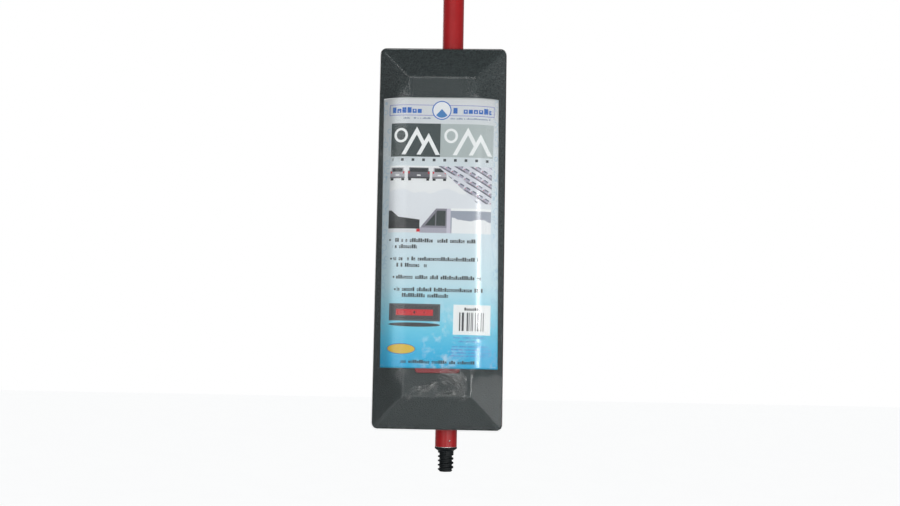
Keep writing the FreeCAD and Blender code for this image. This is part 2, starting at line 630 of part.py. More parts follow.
def make_label_card(doc, sheet):
    """The printed card: flat over the flat face, its two sides bent back over the bevels."""
    body = make_body(doc, "label_card")
    sketch = make_sketch(body, "CardSection", "XY_Plane", "card_raise")
    flat = value_of(sheet, "card_flat_half")
    bend = value_of(sheet, "card_bend_radius")
    thick = value_of(sheet, "card_thickness")
    level = -value_of(sheet, "head_thickness") / 2 - value_of(sheet, "card_gap")
    swing = math.asin((value_of(sheet, "card_chord") / 2 - flat) / bend)
    up = math.pi / 2
    inner_radius, outer_radius = bend, bend + thick
    centres = {side: Vector(side * flat, level + bend, 0) for side in (-1, 1)}

    def arc(side, radius):
        ends = (-up, -up + swing) if side > 0 else (-up - swing, -up)
        return Part.ArcOfCircle(Part.Circle(centres[side], Vector(0, 0, 1), radius), *ends)

    def place(side, radius, angle):
        turned = -up + side * angle
        return centres[side] + Vector(math.cos(turned), math.sin(turned), 0) * radius

    sketch.addGeometry(Part.LineSegment(place(-1, inner_radius, 0), place(1, inner_radius, 0)))
    sketch.addGeometry(arc(1, inner_radius))
    sketch.addGeometry(Part.LineSegment(place(1, inner_radius, swing), place(1, outer_radius, swing)))
    sketch.addGeometry(arc(1, outer_radius))
    sketch.addGeometry(Part.LineSegment(place(1, outer_radius, 0), place(-1, outer_radius, 0)))
    sketch.addGeometry(arc(-1, outer_radius))
    sketch.addGeometry(Part.LineSegment(place(-1, outer_radius, swing), place(-1, inner_radius, swing)))
    sketch.addGeometry(arc(-1, inner_radius))
    for arc, arc_end, line, line_end in ((1, 1, 0, 2), (7, 2, 0, 1), (3, 1, 4, 1), (5, 2, 4, 2)):
        sketch.addConstraint(Sketcher.Constraint("Tangent", arc, arc_end, line, line_end))
    for cap, cap_ends, inner, outer, end in ((2, (1, 2), 1, 3, 2), (6, (2, 1), 7, 5, 1)):
        sketch.addConstraint(Sketcher.Constraint("Coincident", cap, cap_ends[0], inner, end))
        sketch.addConstraint(Sketcher.Constraint("Coincident", cap, cap_ends[1], outer, end))
        sketch.addConstraint(Sketcher.Constraint("Coincident", inner, 3, outer, 3))
        sketch.addConstraint(Sketcher.Constraint("PointOnObject", inner, 3, cap))
        datum(sketch, "Radius", inner, size="card_bend_radius")
        datum(sketch, "Radius", outer, size="card_bend_radius + card_thickness")
    sketch.addConstraint(Sketcher.Constraint("Symmetric", 0, 1, 0, 2, -2))
    datum(sketch, "DistanceX", 0, 1, 0, 2, size="2 * card_flat_half")
    datum(sketch, "DistanceY", 0, 1, size="0 - head_thickness / 2 - card_gap")
    datum(sketch, "DistanceX", 1, 2, size="card_chord / 2")
    datum(sketch, "DistanceX", 7, 1, size="0 - card_chord / 2")
    pad(body, sketch, "Card", "card_height", midplane=True)
    return body


def make_front_film(doc):
    """The front web of the shrink wrap: a thin shell over the face and half of the rim."""
    body = make_body(doc, "front_film")
    base_size = ("head_width + 2 * film_gap", "head_length + 2 * film_gap", "head_corner + film_gap")
    flat_size = ("2 * film_flat_half", "head_length - 2 * end_bevel + film_flat_extra",
                 "plateau_corner + film_gap")
    rim, face = "rim_thickness / 2 + film_shoulder", f"{FRONT} + film_gap"

    def grown(size):
        return [f"{size[0]} + 2 * film_thickness", f"{size[1]} + 2 * film_thickness",
                f"{size[2]} + film_thickness"]

    edge = rectangle(body, "OuterRim", "XZ_Plane", *grown(base_size), offset="film_parting")
    pad(body, edge, "OuterRimWall", f"{rim} - film_parting")
    base = rectangle(body, "OuterBase", "XZ_Plane", *grown(base_size), offset=rim)
    flat = rectangle(body, "OuterFlat", "XZ_Plane", *grown(flat_size), offset=f"{face} + film_thickness")
    loft(body, base, flat, "OuterSlopes")
    hollow = rectangle(body, "InnerRim", "XZ_Plane", *base_size, offset=rim)
    cut(body, hollow, "InnerRimHollow", rim)
    base = rectangle(body, "InnerBase", "XZ_Plane", *base_size, offset=rim)
    flat = rectangle(body, "InnerFlat", "XZ_Plane", *flat_size, offset=face)
    loft(body, base, flat, "InnerSlopes", subtractive=True)
    return body


def tent(body, sheet, name, grow, foot):
    """A section of the rear web: up the rim, straight to the handle, round it and down again.

    grow moves every wall outwards, and foot is where the section ends along Y at its open side.
    """
    doc = body.Document
    sketch = make_sketch(body, name, "XY_Plane")
    half_size = f"head_width / 2 + film_gap + {grow}"
    shoulder_size = "rim_thickness / 2 + film_shoulder"
    radius_size = f"film_handle_radius + {grow}"
    half, shoulder, radius = number(half_size, doc), number(shoulder_size, doc), number(radius_size, doc)
    low = number(foot, doc)
    centre = Vector(value_of(sheet, "handle_beside"), value_of(sheet, "handle_behind"), 0)
    touches, angles = {}, {}
    for side in (-1, 1):
        corner = Vector(side * half, shoulder, 0)
        towards = corner - centre
        bearing = math.atan2(towards.y, towards.x)
        angles[side] = bearing + side * math.acos(radius / towards.Length)
        touches[side] = centre + Vector(math.cos(angles[side]), math.sin(angles[side]), 0) * radius
    right, left = angles[1], angles[-1] % (2 * math.pi)
    points = [Vector(half, low, 0), Vector(half, shoulder, 0), touches[1]]
    for start, end in zip(points, points[1:]):
        sketch.addGeometry(Part.LineSegment(start, end))
    sketch.addGeometry(Part.ArcOfCircle(Part.Circle(centre, Vector(0, 0, 1), radius), right, left))
    points = [touches[-1], Vector(-half, shoulder, 0), Vector(-half, low, 0), Vector(half, low, 0)]
    for start, end in zip(points, points[1:]):
        sketch.addGeometry(Part.LineSegment(start, end))
    for kind, first, second in (("Coincident", 0, 1), ("Tangent", 1, 2), ("Tangent", 2, 3),
                                ("Coincident", 3, 4), ("Coincident", 4, 5), ("Coincident", 5, 0)):
        sketch.addConstraint(Sketcher.Constraint(kind, first, 2, second, 1))
    sketch.addConstraint(Sketcher.Constraint("Vertical", 0))
    sketch.addConstraint(Sketcher.Constraint("Vertical", 4))
    datum(sketch, "Radius", 2, size=radius_size)
    datum(sketch, "DistanceX", 2, 3, size="handle_beside")
    datum(sketch, "DistanceY", 2, 3, size="handle_behind")
    for line, across in ((0, half_size), (3, f"0 - ( {half_size} )")):
        datum(sketch, "DistanceX", line, 2, size=across)
        datum(sketch, "DistanceY", line, 2, size=shoulder_size)
    datum(sketch, "DistanceY", 0, 1, size=foot)
    datum(sketch, "DistanceY", 4, 2, size=foot)
    return sketch


def handle_slot(body, sheet):
    """A U that is open towards the head, for the handle to pass through the film's end walls."""
    sketch = make_sketch(body, "HandleSlot", "XY_Plane")
    wide, foot = value_of(sheet, "film_slot_radius"), number(PAST_MIDDLE, body.Document)
    centre = Vector(value_of(sheet, "handle_beside"), value_of(sheet, "handle_behind"), 0)
    right, left = centre + Vector(wide, 0, 0), centre - Vector(wide, 0, 0)
    low_right, low_left = Vector(right.x, foot, 0), Vector(left.x, foot, 0)
    sketch.addGeometry(Part.ArcOfCircle(Part.Circle(centre, Vector(0, 0, 1), wide), 0, math.pi))
    for start, end in ((left, low_left), (low_left, low_right), (low_right, right)):
        sketch.addGeometry(Part.LineSegment(start, end))
    for kind, first, second in (("Tangent", 0, 1), ("Coincident", 1, 2), ("Coincident", 2, 3),
                                ("Tangent", 3, 0)):
        sketch.addConstraint(Sketcher.Constraint(kind, first, 2, second, 1))
    sketch.addConstraint(Sketcher.Constraint("Vertical", 1))
    sketch.addConstraint(Sketcher.Constraint("Vertical", 3))
    sketch.addConstraint(Sketcher.Constraint("Horizontal", 2))
    datum(sketch, "Radius", 0, size="film_slot_radius")
    datum(sketch, "DistanceX", 0, 3, size="handle_beside")
    datum(sketch, "DistanceY", 0, 3, size="handle_behind")
    datum(sketch, "DistanceY", 1, 2, size=PAST_MIDDLE)
    return sketch


def make_back_film(doc, sheet):
    """The rear web: a tent from the rim over the handle, with end walls open round the handle."""
    body = make_body(doc, "back_film")
    outer = tent(body, sheet, "OuterSection", "film_thickness", "film_parting")
    pad(body, outer, "Outer", "head_length + 2 * film_gap + 2 * film_thickness", midplane=True)
    inner = tent(body, sheet, "InnerSection", "0", PAST_MIDDLE)
    cut(body, inner, "Inner", "head_length + 2 * film_gap", midplane=True)
    slot = handle_slot(body, sheet)
    cut(body, slot, "Slot", "head_length + 4 * film_gap + 4 * film_thickness", midplane=True)
    return body


def check(doc, pieces):
    """Stop before anything is written if an object failed or a piece isn't one sound shape."""
    for item in doc.Objects:
        if "Invalid" in item.State or "Error" in item.State:
            raise RuntimeError(f"{item.Label} failed: {item.State}")
    for piece in pieces:
        shape = piece.Shape
        if shape.isNull() or not shape.isValid() or not shape.Solids:
            raise RuntimeError(f"{piece.Label} has no valid shape")


def main():
    doc = FreeCAD.newDocument("SnowBroom")
    sheet = make_sheet(doc)
    pieces = [
        make_foam_head(doc, sheet),
        make_socket_plate(doc, sheet),
        make_back_plate(doc, sheet),
        make_plate_screws(doc),
        make_plate_nuts(doc),
        make_handle_tube(doc),
        make_handle_sleeve(doc),
        make_threaded_tip(doc),
        make_hanger_cap(doc, sheet),
        make_label_card(doc, sheet),
        make_front_film(doc),
        make_back_film(doc, sheet),
    ]
    sheet.clear(SCRATCH_CELL)
    doc.recompute()
    check(doc, pieces)
    os.makedirs("parts", exist_ok=True)
    for piece in pieces:
        box = piece.Shape.BoundBox
        print(f"{piece.Label:14s} {len(piece.Shape.Solids)} solid(s) {piece.Shape.Volume / 1000:9.2f} cm3  "
              f"x {box.XMin:7.1f} {box.XMax:7.1f}  y {box.YMin:7.1f} {box.YMax:7.1f}  "
              f"z {box.ZMin:8.1f} {box.ZMax:8.1f}")
        piece.Shape.exportStep(f"parts/{piece.Label}.step")


main()
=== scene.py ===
import bpy
import math
import numpy as np
from mathutils import Matrix, Vector, noise


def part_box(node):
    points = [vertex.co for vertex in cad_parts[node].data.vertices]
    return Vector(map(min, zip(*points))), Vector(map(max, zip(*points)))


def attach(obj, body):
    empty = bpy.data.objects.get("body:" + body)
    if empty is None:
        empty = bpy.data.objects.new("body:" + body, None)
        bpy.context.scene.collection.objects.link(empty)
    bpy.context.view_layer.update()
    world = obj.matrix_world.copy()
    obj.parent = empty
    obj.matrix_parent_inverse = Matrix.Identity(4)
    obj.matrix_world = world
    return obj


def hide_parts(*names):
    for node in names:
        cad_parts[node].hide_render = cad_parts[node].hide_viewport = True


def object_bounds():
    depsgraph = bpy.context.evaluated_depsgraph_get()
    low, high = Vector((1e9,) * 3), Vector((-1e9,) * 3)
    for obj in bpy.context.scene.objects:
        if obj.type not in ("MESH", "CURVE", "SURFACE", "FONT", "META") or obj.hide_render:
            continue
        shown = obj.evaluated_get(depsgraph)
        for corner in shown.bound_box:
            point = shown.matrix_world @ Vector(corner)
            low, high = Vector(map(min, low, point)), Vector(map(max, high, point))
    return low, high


# Looks for a foam-headed snow broom in its shrink wrap.  Everything is in metres in the packed
# frame.  Pieces of the head are drawn in millimetres about the middle of the foam: "across" to
# the right, "up" along the handle and "out" towards the viewer, and placed by head_points().

MM = 0.001

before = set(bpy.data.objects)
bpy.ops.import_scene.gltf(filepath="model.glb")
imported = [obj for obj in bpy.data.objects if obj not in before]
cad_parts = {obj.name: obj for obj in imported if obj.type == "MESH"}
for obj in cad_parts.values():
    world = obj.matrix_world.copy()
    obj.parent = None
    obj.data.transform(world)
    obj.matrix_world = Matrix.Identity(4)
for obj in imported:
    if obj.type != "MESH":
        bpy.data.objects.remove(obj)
cad_box = [list(corner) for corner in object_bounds()]


# ---------------- sizes, read from the frame

def middle(node):
    low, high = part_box(node)
    return (Vector(low) + Vector(high)) / 2


def half_size(node):
    """Half the node's size, in millimetres: across, out, up."""
    low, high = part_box(node)
    return (Vector(high) - Vector(low)) / 2 / MM


HEAD = middle("foam_head")
FOAM = half_size("foam_head")
PLATE = half_size("socket_plate")
CARD = half_size("label_card")
CARD_UP = (middle("label_card").z - HEAD.z) / MM
HANDLE_ACROSS = (middle("handle_tube").x - HEAD.x) / MM
HANDLE_BACK = (middle("handle_tube").y - HEAD.y) / MM
HANDLE_RADIUS = half_size("handle_sleeve").x

# Sizes of the CAD's features that its boxes don't tell, in millimetres.
RIM_HALF = 4.0          # half the foam's straight edge
RIM_ROUND = 3.0         # rounding of that edge
RIM_STRAIGHT = 1.97     # where the rounding starts, out from the middle
RIM_TURN = math.radians(68)
SIDE_BEVEL = 36.5
END_BEVEL = 39.0
CORNER = 6.5
FLAT_CORNER = 1.5
PLATE_GAP = 0.3
PLATE_CORNER = 4.0
POCKET_DEPTH = 4.1
POCKET_ROUND = 0.7
CARD_THICK = 0.4
CARD_GAP = 0.3
CARD_FLAT = 36.0        # half width of the card's flat middle
CARD_BEND = 62.0        # radius of its two curved sides
CARD_TILT = math.radians(0.5)
FILM_SLACK = 0.5
FILM_ACROSS = FOAM.x + FILM_SLACK
FILM_UP = FOAM.z + FILM_SLACK
FILM_CORNER = CORNER + 1.2


def head_points(points):
    """Rows of (across, out, up) in millimetres about the foam's middle, as metres in the frame."""
    points = np.asarray(points, float)
    placed = np.empty_like(points)
    placed[:, 0] = HEAD.x + points[:, 0] * MM
    placed[:, 1] = HEAD.y - points[:, 1] * MM
    placed[:, 2] = HEAD.z + points[:, 2] * MM
    return placed


def between(start, end, share):
    return start + (end - start) * share


# ---------------- mesh helpers

def add_object(name, data):
    item = bpy.data.objects.new(name, data)
    bpy.context.scene.collection.objects.link(item)
    return item


def make_object(name, points, faces, smooth=True):
    mesh = bpy.data.meshes.new(name)
    mesh.from_pydata([tuple(p) for p in points], [], [tuple(int(i) for i in face) for face in faces])
    mesh.validate()
    mesh.update()
    if smooth:
        mesh.polygons.foreach_set("use_smooth", [True] * len(mesh.polygons))
    return add_object(name, mesh)


def rounded_outline(half_across, half_up, radius, side_across=26, side_up=76, corner=8):
    """Points round a round-cornered rectangle, always the same number, from its right side on."""
    radius = max(radius, 0.01)
    flat_across, flat_up = half_across - radius, half_up - radius
    sides = (
        # start, end, centre of the corner after it, number of points
        ((half_across, -flat_up), (half_across, flat_up), (flat_across, flat_up), side_up),
        ((flat_across, half_up), (-flat_across, half_up), (-flat_across, flat_up), side_across),
        ((-half_across, flat_up), (-half_across, -flat_up), (-flat_across, -flat_up), side_up),
        ((-flat_across, -half_up), (flat_across, -half_up), (flat_across, -flat_up), side_across),
    )
    spots = []
    for side, (start, end, centre, count) in enumerate(sides):
        spots += [(between(start[0], end[0], step / count), between(start[1], end[1], step / count))
                  for step in range(count)]
        for step in range(corner):
            angle = math.radians(90 * (side + step / corner))
            spots.append((centre[0] + radius * math.cos(angle), centre[1] + radius * math.sin(angle)))
    return np.array(spots)


def grid_faces(rows, columns, flip=False, closed=False):
    """Quads between neighbouring rows of points; a closed grid's rows are rings."""
    faces = []
    for row in range(rows - 1):
        start = row * columns
        for column in range(columns if closed else columns - 1):
            after = (column + 1) % columns
            quad = (start + column, start + after, start + columns + after, start + columns + column)
            faces.append(quad[::-1] if flip else quad)
    return faces


def wobble(points, length, seed):
    """Smooth noise about zero at each point, with features about length millimetres across."""
    shift = Vector((seed * 17.3, seed * 5.1, seed * 9.7))
    return np.array([noise.noise(Vector(p) / length + shift) for p in points])


def float_layer(item, name, values):
    layer = item.data.attributes.new(name, "FLOAT", "POINT")
    layer.data.foreach_set("value", np.asarray(values, float))


# ---------------- foam head

def soft_least(a, b, softness):
    """The smaller of a and b, rounded where they meet."""
    return -softness * np.log(np.exp(-a / softness) + np.exp(-b / softness))


def foam_rings():
    """(inset across, inset up, corner radius, out) of each ring of one face, from the rim inwards."""
    depth = FOAM.y
    rings = [(0.0, 0.0, CORNER, 0.0), (0.0, 0.0, CORNER, 1.0)]
    for angle in np.linspace(0, RIM_TURN, 7):
        inset = RIM_ROUND * (1 - math.cos(angle))
        rings.append((inset, inset, CORNER, RIM_STRAIGHT + RIM_ROUND * math.sin(angle)))
    start_in, start_out = rings[-1][0], rings[-1][3]
    for share in (0.06, 0.14, 0.24, 0.34, 0.44, 0.54, 0.64, 0.74, 0.83, 0.9, 0.95, 0.98, 1.0):
        rings.append((between(start_in, SIDE_BEVEL, share), between(start_in, END_BEVEL, share),
                      between(CORNER, FLAT_CORNER, share), between(start_out, depth, share)))
    pocket_in = FOAM.x - PLATE.x - PLATE_GAP
    pocket_up = FOAM.z - PLATE.z - PLATE_GAP
    edge = PLATE_CORNER + PLATE_GAP
    for share in (0.03, 0.08, 0.16, 0.3, 0.45, 0.6, 0.75, 0.88, 0.95):
        rings.append((between(SIDE_BEVEL, pocket_in, share), between(END_BEVEL, pocket_up, share),
                      between(FLAT_CORNER, edge, share), depth))
    for angle in (0, 22, 45, 68, 90):
        back = POCKET_ROUND * (1 - math.sin(math.radians(angle)))
        down = POCKET_ROUND * (1 - math.cos(math.radians(angle)))
        rings.append((pocket_in - back, pocket_up - back, edge + back, depth - down))
    rings.append((pocket_in, pocket_up, edge, depth - POCKET_DEPTH))
    return rings


CREASE_REACH = 3.0
CREASE_SOFTNESS = 0.28


def soften_crease(rings):
    """Round the crease between bevel and flat face over a few millimetres."""
    depth = FOAM.y
    slope = (depth - RIM_HALF) / SIDE_BEVEL
    eased = []
    for inset, up_inset, radius, out in rings:
        if depth - CREASE_REACH < out and inset < FOAM.x - PLATE.x - CREASE_REACH:
            line = depth + (inset - SIDE_BEVEL) * slope
            out = float(soft_least(line, depth, CREASE_SOFTNESS))
        eased.append((inset, up_inset, radius, out))
    return eased


def make_foam():
    """The moulded foam slab: both faces built ring by ring, then given a little life."""
    rings = soften_crease(foam_rings())
    front = [rounded_outline(FOAM.x - a, FOAM.z - b, r) for a, b, r, _ in rings]
    count = len(front[0])
    outs = [ring[3] for ring in rings]
    points = []
    for outline, out in zip(front, outs):
        points += [(x, out, z) for x, z in outline]
    back_start = len(points)
    for outline, out in zip(front[1:], outs[1:]):
        points += [(x, -out, z) for x, z in outline]
    faces = grid_faces(len(rings), count, flip=True, closed=True)
    second = grid_faces(len(rings) - 1, count, closed=True)
    faces += [[i + back_start for i in face] for face in second]
    faces += [(i, (i + 1) % count, back_start + (i + 1) % count, back_start + i) for i in range(count)]
    faces.append([(len(rings) - 1) * count + i for i in range(count)][::-1])
    faces.append([back_start + (len(rings) - 2) * count + i for i in range(count)])
    return make_object("foam_pad", head_points(enliven(np.array(points))), faces)


FOAM_WAVES = ((0.22, 55, 1), (0.14, 16, 2), (0.05, 5, 3))    # height, length, seed
DENT_REACH = 4.0        # how far in from the sides and ends the dents lie


def enliven(points):
    """Slight unevenness of moulded foam, pushed mostly inwards so that it keeps its size."""
    waves = sum(height * wobble(points, length, seed) for height, length, seed in FOAM_WAVES)
    out_way = np.sign(points[:, 1])
    near_rim = np.clip(1 - (FOAM.y - np.abs(points[:, 1])) / FOAM.y, 0, 1)
    moved = points.copy()
    moved[:, 1] += out_way * (waves - 0.12) * near_rim
    rim = np.abs(points[:, 1]) < RIM_HALF + 1.2
    nicks = np.clip(wobble(points * (1, 3, 1), 9, 4) - 0.15, 0, 1)
    dents = 0.35 * nicks + 0.15 * np.abs(wobble(points, 40, 5))
    side = np.abs(points[:, 0]) > FOAM.x - DENT_REACH
    end = np.abs(points[:, 2]) > FOAM.z - DENT_REACH
    moved[rim & side, 0] -= np.sign(points[rim & side, 0]) * dents[rim & side]
    moved[rim & end, 2] -= np.sign(points[rim & end, 2]) * dents[rim & end]
    return moved


# ---------------- card

def card_out(across):
    """How far out the card's front stands at a distance from its middle."""
    beyond = np.clip(np.abs(across) - CARD_FLAT, 0, CARD_BEND * 0.95)
    drop = CARD_BEND - np.sqrt(CARD_BEND ** 2 - beyond ** 2)
    return FOAM.y + CARD_GAP + CARD_THICK - drop


def tilted(across, up):
    """The card's own place (across, up) turned by its small tilt on the head."""
    cosine, sine = math.cos(CARD_TILT), math.sin(CARD_TILT)
    return across * cosine - (up - CARD_UP) * sine, CARD_UP + (up - CARD_UP) * cosine


def make_card():
    """The printed card as a thin closed sheet, curved back over the bevels at both sides."""
    half_across, half_up = CARD.x - 0.2, CARD.z - 0.4
    across = np.linspace(-half_across, half_across, 93)
    ups = np.linspace(-half_up, half_up, 151) + CARD_UP
    front, back = [], []
    for up in ups:
        turned, height = tilted(across, up)
        wave = 0.12 * np.sin(up / 31.0 + across / 47.0) + 0.08 * np.sin(up / 13.0 - across / 29.0)
        out = card_out(across) + wave * np.clip((np.abs(across) - 25) / 30, 0, 1)
        front += list(zip(turned, out, height + 0 * turned))
        back += list(zip(turned, out - CARD_THICK, height + 0 * turned))
    rows, columns = len(ups), len(across)
    faces = grid_faces(rows, columns)
    faces += [[i + rows * columns for i in face] for face in grid_faces(rows, columns, flip=True)]
    faces += edge_band(rows, columns, rows * columns)
    return make_object("printed_card", head_points(front + back), faces)


def border(rows, columns):
    """Point numbers round the edge of a grid, in order."""
    bottom = list(range(columns))
    right = [row * columns + columns - 1 for row in range(1, rows)]
    top = [(rows - 1) * columns + column for column in range(columns - 2, -1, -1)]
    left = [row * columns for row in range(rows - 2, 0, -1)]
    return bottom + right + top + left


def edge_band(rows, columns, shift):
    """Faces that join the edge of a grid to the edge of its copy shift points later."""
    loop = border(rows, columns)
    return [(a + shift, b + shift, b, a) for a, b in zip(loop, loop[1:] + loop[:1])]


# ---------------- shrink film

def foam_height(across, up):
    """How far out the foam stands, bevels and flat face, by place."""
    side = (FOAM.x - np.abs(across)) / SIDE_BEVEL
    end = (FOAM.z - np.abs(up)) / END_BEVEL
    share = np.clip(np.minimum(side, end), 0, 1)
    return RIM_HALF + (FOAM.y - RIM_HALF) * share


def stretched_over(obstacle, rim_height, rounds=2600):
    """The height of a taut skin held at its edge and lying over an obstacle."""
    skin = obstacle.copy()
    for _ in range(rounds):
        around = (skin[:-2, 1:-1] + skin[2:, 1:-1] + skin[1:-1, :-2] + skin[1:-1, 2:]) / 4
        skin[1:-1, 1:-1] = np.maximum(obstacle[1:-1, 1:-1], around)
        skin[0, :] = skin[-1, :] = rim_height
        skin[:, 0] = skin[:, -1] = rim_height
    return skin


def resampled(values, old_rows, old_columns, rows, columns):
    """A grid of values read at other rows and columns, straight between its points."""
    wide = np.array([np.interp(columns, old_columns, line) for line in values])
    return np.array([np.interp(rows, old_rows, wide[:, i]) for i in range(len(columns))]).T


def streaks(across, up, centre, reach, angle, wave, seed):
    """Fine folds in one patch: curved ridges that run along angle, fading away from the centre."""
    along = (across - centre[0]) * math.cos(angle) + (up - centre[1]) * math.sin(angle)
    over = -(across - centre[0]) * math.sin(angle) + (up - centre[1]) * math.cos(angle)
    over = over + along ** 2 / 45.0
    fade = np.exp(-((along / reach[0]) ** 2) - (over / reach[1]) ** 2)
    ridges = []
    for a, o in zip(along.ravel(), over.ravel()):
        bend = noise.noise(Vector((a / 14.0, o / 9.0, seed)))
        ridges.append(1 - 2.6 * abs(noise.noise(Vector((a / 13.0, (o + 2.0 * bend) / wave, seed + 3.7)))))
    return fade * np.clip(np.reshape(ridges, fade.shape), 0, 1) ** 1.5


FOLD_PATCHES = (
    # centre (across, up), reach (along, over), direction in degrees, spacing, height, all in mm
    ((20.0, -163.5), (13.0, 5.5), -32.0, 2.6, 1.3),
    ((24.0, -172.0), (12.0, 6.0), -50.0, 2.8, 1.0),
    ((-2.0, -174.0), (17.0, 3.5), 20.0, 2.4, 1.1),
    ((-22.0, -182.0), (14.0, 4.0), 24.0, 2.4, 0.8),
    ((20.0, -185.0), (16.0, 4.0), -14.0, 2.4, 0.9),
    ((-62.0, 95.0), (7.0, 60.0), 80.0, 5.0, 0.25),
    ((60.0, -120.0), (9.0, 50.0), 95.0, 5.0, 0.25),
)


def fold_height(across, up):
    total = np.zeros_like(across)
    for number, (centre, reach, angle, wave, height) in enumerate(FOLD_PATCHES):
        near = np.hypot((across - centre[0]) / reach[0], (up - centre[1]) / reach[1]) < 3
        patch = np.zeros_like(across)
        if near.any():
            patch[near] = height * streaks(across[near], up[near], centre, reach,
                                           math.radians(angle), wave, number + 1.5)
        total += patch
    return total


CRUMPLED_FROM, CRUMPLED_TO = -196, -150


def front_grid():
    """Rows and columns of the film over the face, closer together where it is crumpled."""
    columns = np.linspace(-1, 1, 191) * FILM_ACROSS
    coarse_low = np.linspace(-FILM_UP, CRUMPLED_FROM, 12, endpoint=False)
    fine = np.linspace(CRUMPLED_FROM, CRUMPLED_TO, 90, endpoint=False)
    coarse_high = np.linspace(CRUMPLED_TO, FILM_UP, 165)
    return np.concatenate([coarse_low, fine, coarse_high]), columns


def square_corner_to_round(across, up, radius, half_across, half_up):
    """Draw the corners of a rectangle of points in to round ones."""
    a = np.clip((np.abs(across) - (half_across - radius)) / radius, 0, 1)
    b = np.clip((np.abs(up) - (half_up - radius)) / radius, 0, 1)
    new_a = np.where(a > 0, half_across - radius + radius * a * np.sqrt(1 - b ** 2 / 2), np.abs(across))
    new_b = np.where(b > 0, half_up - radius + radius * b * np.sqrt(1 - a ** 2 / 2), np.abs(up))
    return np.sign(across) * new_a, np.sign(up) * new_b


def front_film_points():
    """(points, rows, columns, fold heights) of the film over the face."""
    rows, columns = front_grid()
    solve_rows = np.linspace(rows[0], rows[-1], 271)
    solve_columns = np.linspace(columns[0], columns[-1], 93)
    across, up = np.meshgrid(solve_columns, solve_rows)
    obstacle = foam_height(across, up) + 0.3
    unturned, unturned_up = across + (up - CARD_UP) * CARD_TILT, up - across * CARD_TILT
    on_card = (np.abs(unturned) < CARD.x + 0.3) & (np.abs(unturned_up - CARD_UP) < CARD.z + 0.3)
    obstacle[on_card] = np.maximum(obstacle[on_card], card_out(unturned[on_card]) + 0.35)
    skin = resampled(stretched_over(obstacle, RIM_HALF + 0.1), solve_rows, solve_columns, rows, columns)
    across, up = np.meshgrid(columns, rows)
    folds = fold_height(across, up)
    calm = 0.10 * np.sin(up / 23.0 + across / 37.0) + 0.06 * np.sin(across / 11.0 - up / 41.0)
    out = skin + folds + np.clip(calm, -0.05, 0.2)
    across, up = square_corner_to_round(across, up, FILM_CORNER, FILM_ACROSS, FILM_UP)
    points = np.stack([across.ravel(), out.ravel(), up.ravel()], axis=1)
    return points, len(rows), len(columns), folds.ravel()


SEAM_FROM_MIDDLE = 0.45


def make_front_film():
    """Film over the face, carried round the rim to the seam."""
    points, rows, columns, folds = front_film_points()
    faces = grid_faces(rows, columns)
    loop = border(rows, columns)
    edge = points[loop]
    start = len(points)
    hem = []
    for grow, out in ((0.1, RIM_HALF - 0.9), (0.2, RIM_HALF - 2.2), (0.2, SEAM_FROM_MIDDLE)):
        wider, longer = 1 + grow / FILM_ACROSS, 1 + grow / FILM_UP
        hem.append(np.stack([edge[:, 0] * wider, np.full(len(edge), out), edge[:, 2] * longer], axis=1))
    count = len(loop)
    for number, (a, b) in enumerate(zip(loop, loop[1:] + loop[:1])):
        faces.append((b, a, start + number, start + (number + 1) % count))
    faces += [[start + i for i in face] for face in grid_faces(len(hem), count, flip=True, closed=True)]
    points = np.concatenate([points] + hem)
    item = make_object("film_front", head_points(points), faces)
    float_layer(item, "folds", np.concatenate([folds, np.zeros(count * len(hem))]))
    return item


def tent_section(radius, steps=26):
    """Across and back of the rear film in one level section, from the left rim to the right."""
    half, shoulder = FILM_ACROSS, RIM_HALF + 0.3
    centre = Vector((HANDLE_ACROSS, HANDLE_BACK))

    def round_handle(angle):
        return centre + radius * Vector((math.cos(angle), math.sin(angle)))

    angles = {}
    for side in (-1, 1):
        towards = Vector((side * half, shoulder)) - centre
        bearing = math.atan2(towards.y, towards.x)
        angles[side] = bearing + side * math.acos(radius / towards.length)
    first, last = angles[-1] % (2 * math.pi), angles[1]
    spots = [(-half, 0.3), (-half, 2.0), (-half, shoulder)]
    rim_left, rim_right = Vector((-half, shoulder)), Vector((half, shoulder))
    spots += [tuple(rim_left.lerp(round_handle(first), k / steps)) for k in range(1, steps)]
    spots += [tuple(round_handle(angle)) for angle in np.linspace(first, last, 20)]
    spots += [tuple(round_handle(last).lerp(rim_right, k / steps)) for k in range(1, steps)]
    spots += [(half, shoulder), (half, 2.0), (half, 0.3)]
    return np.array(spots)


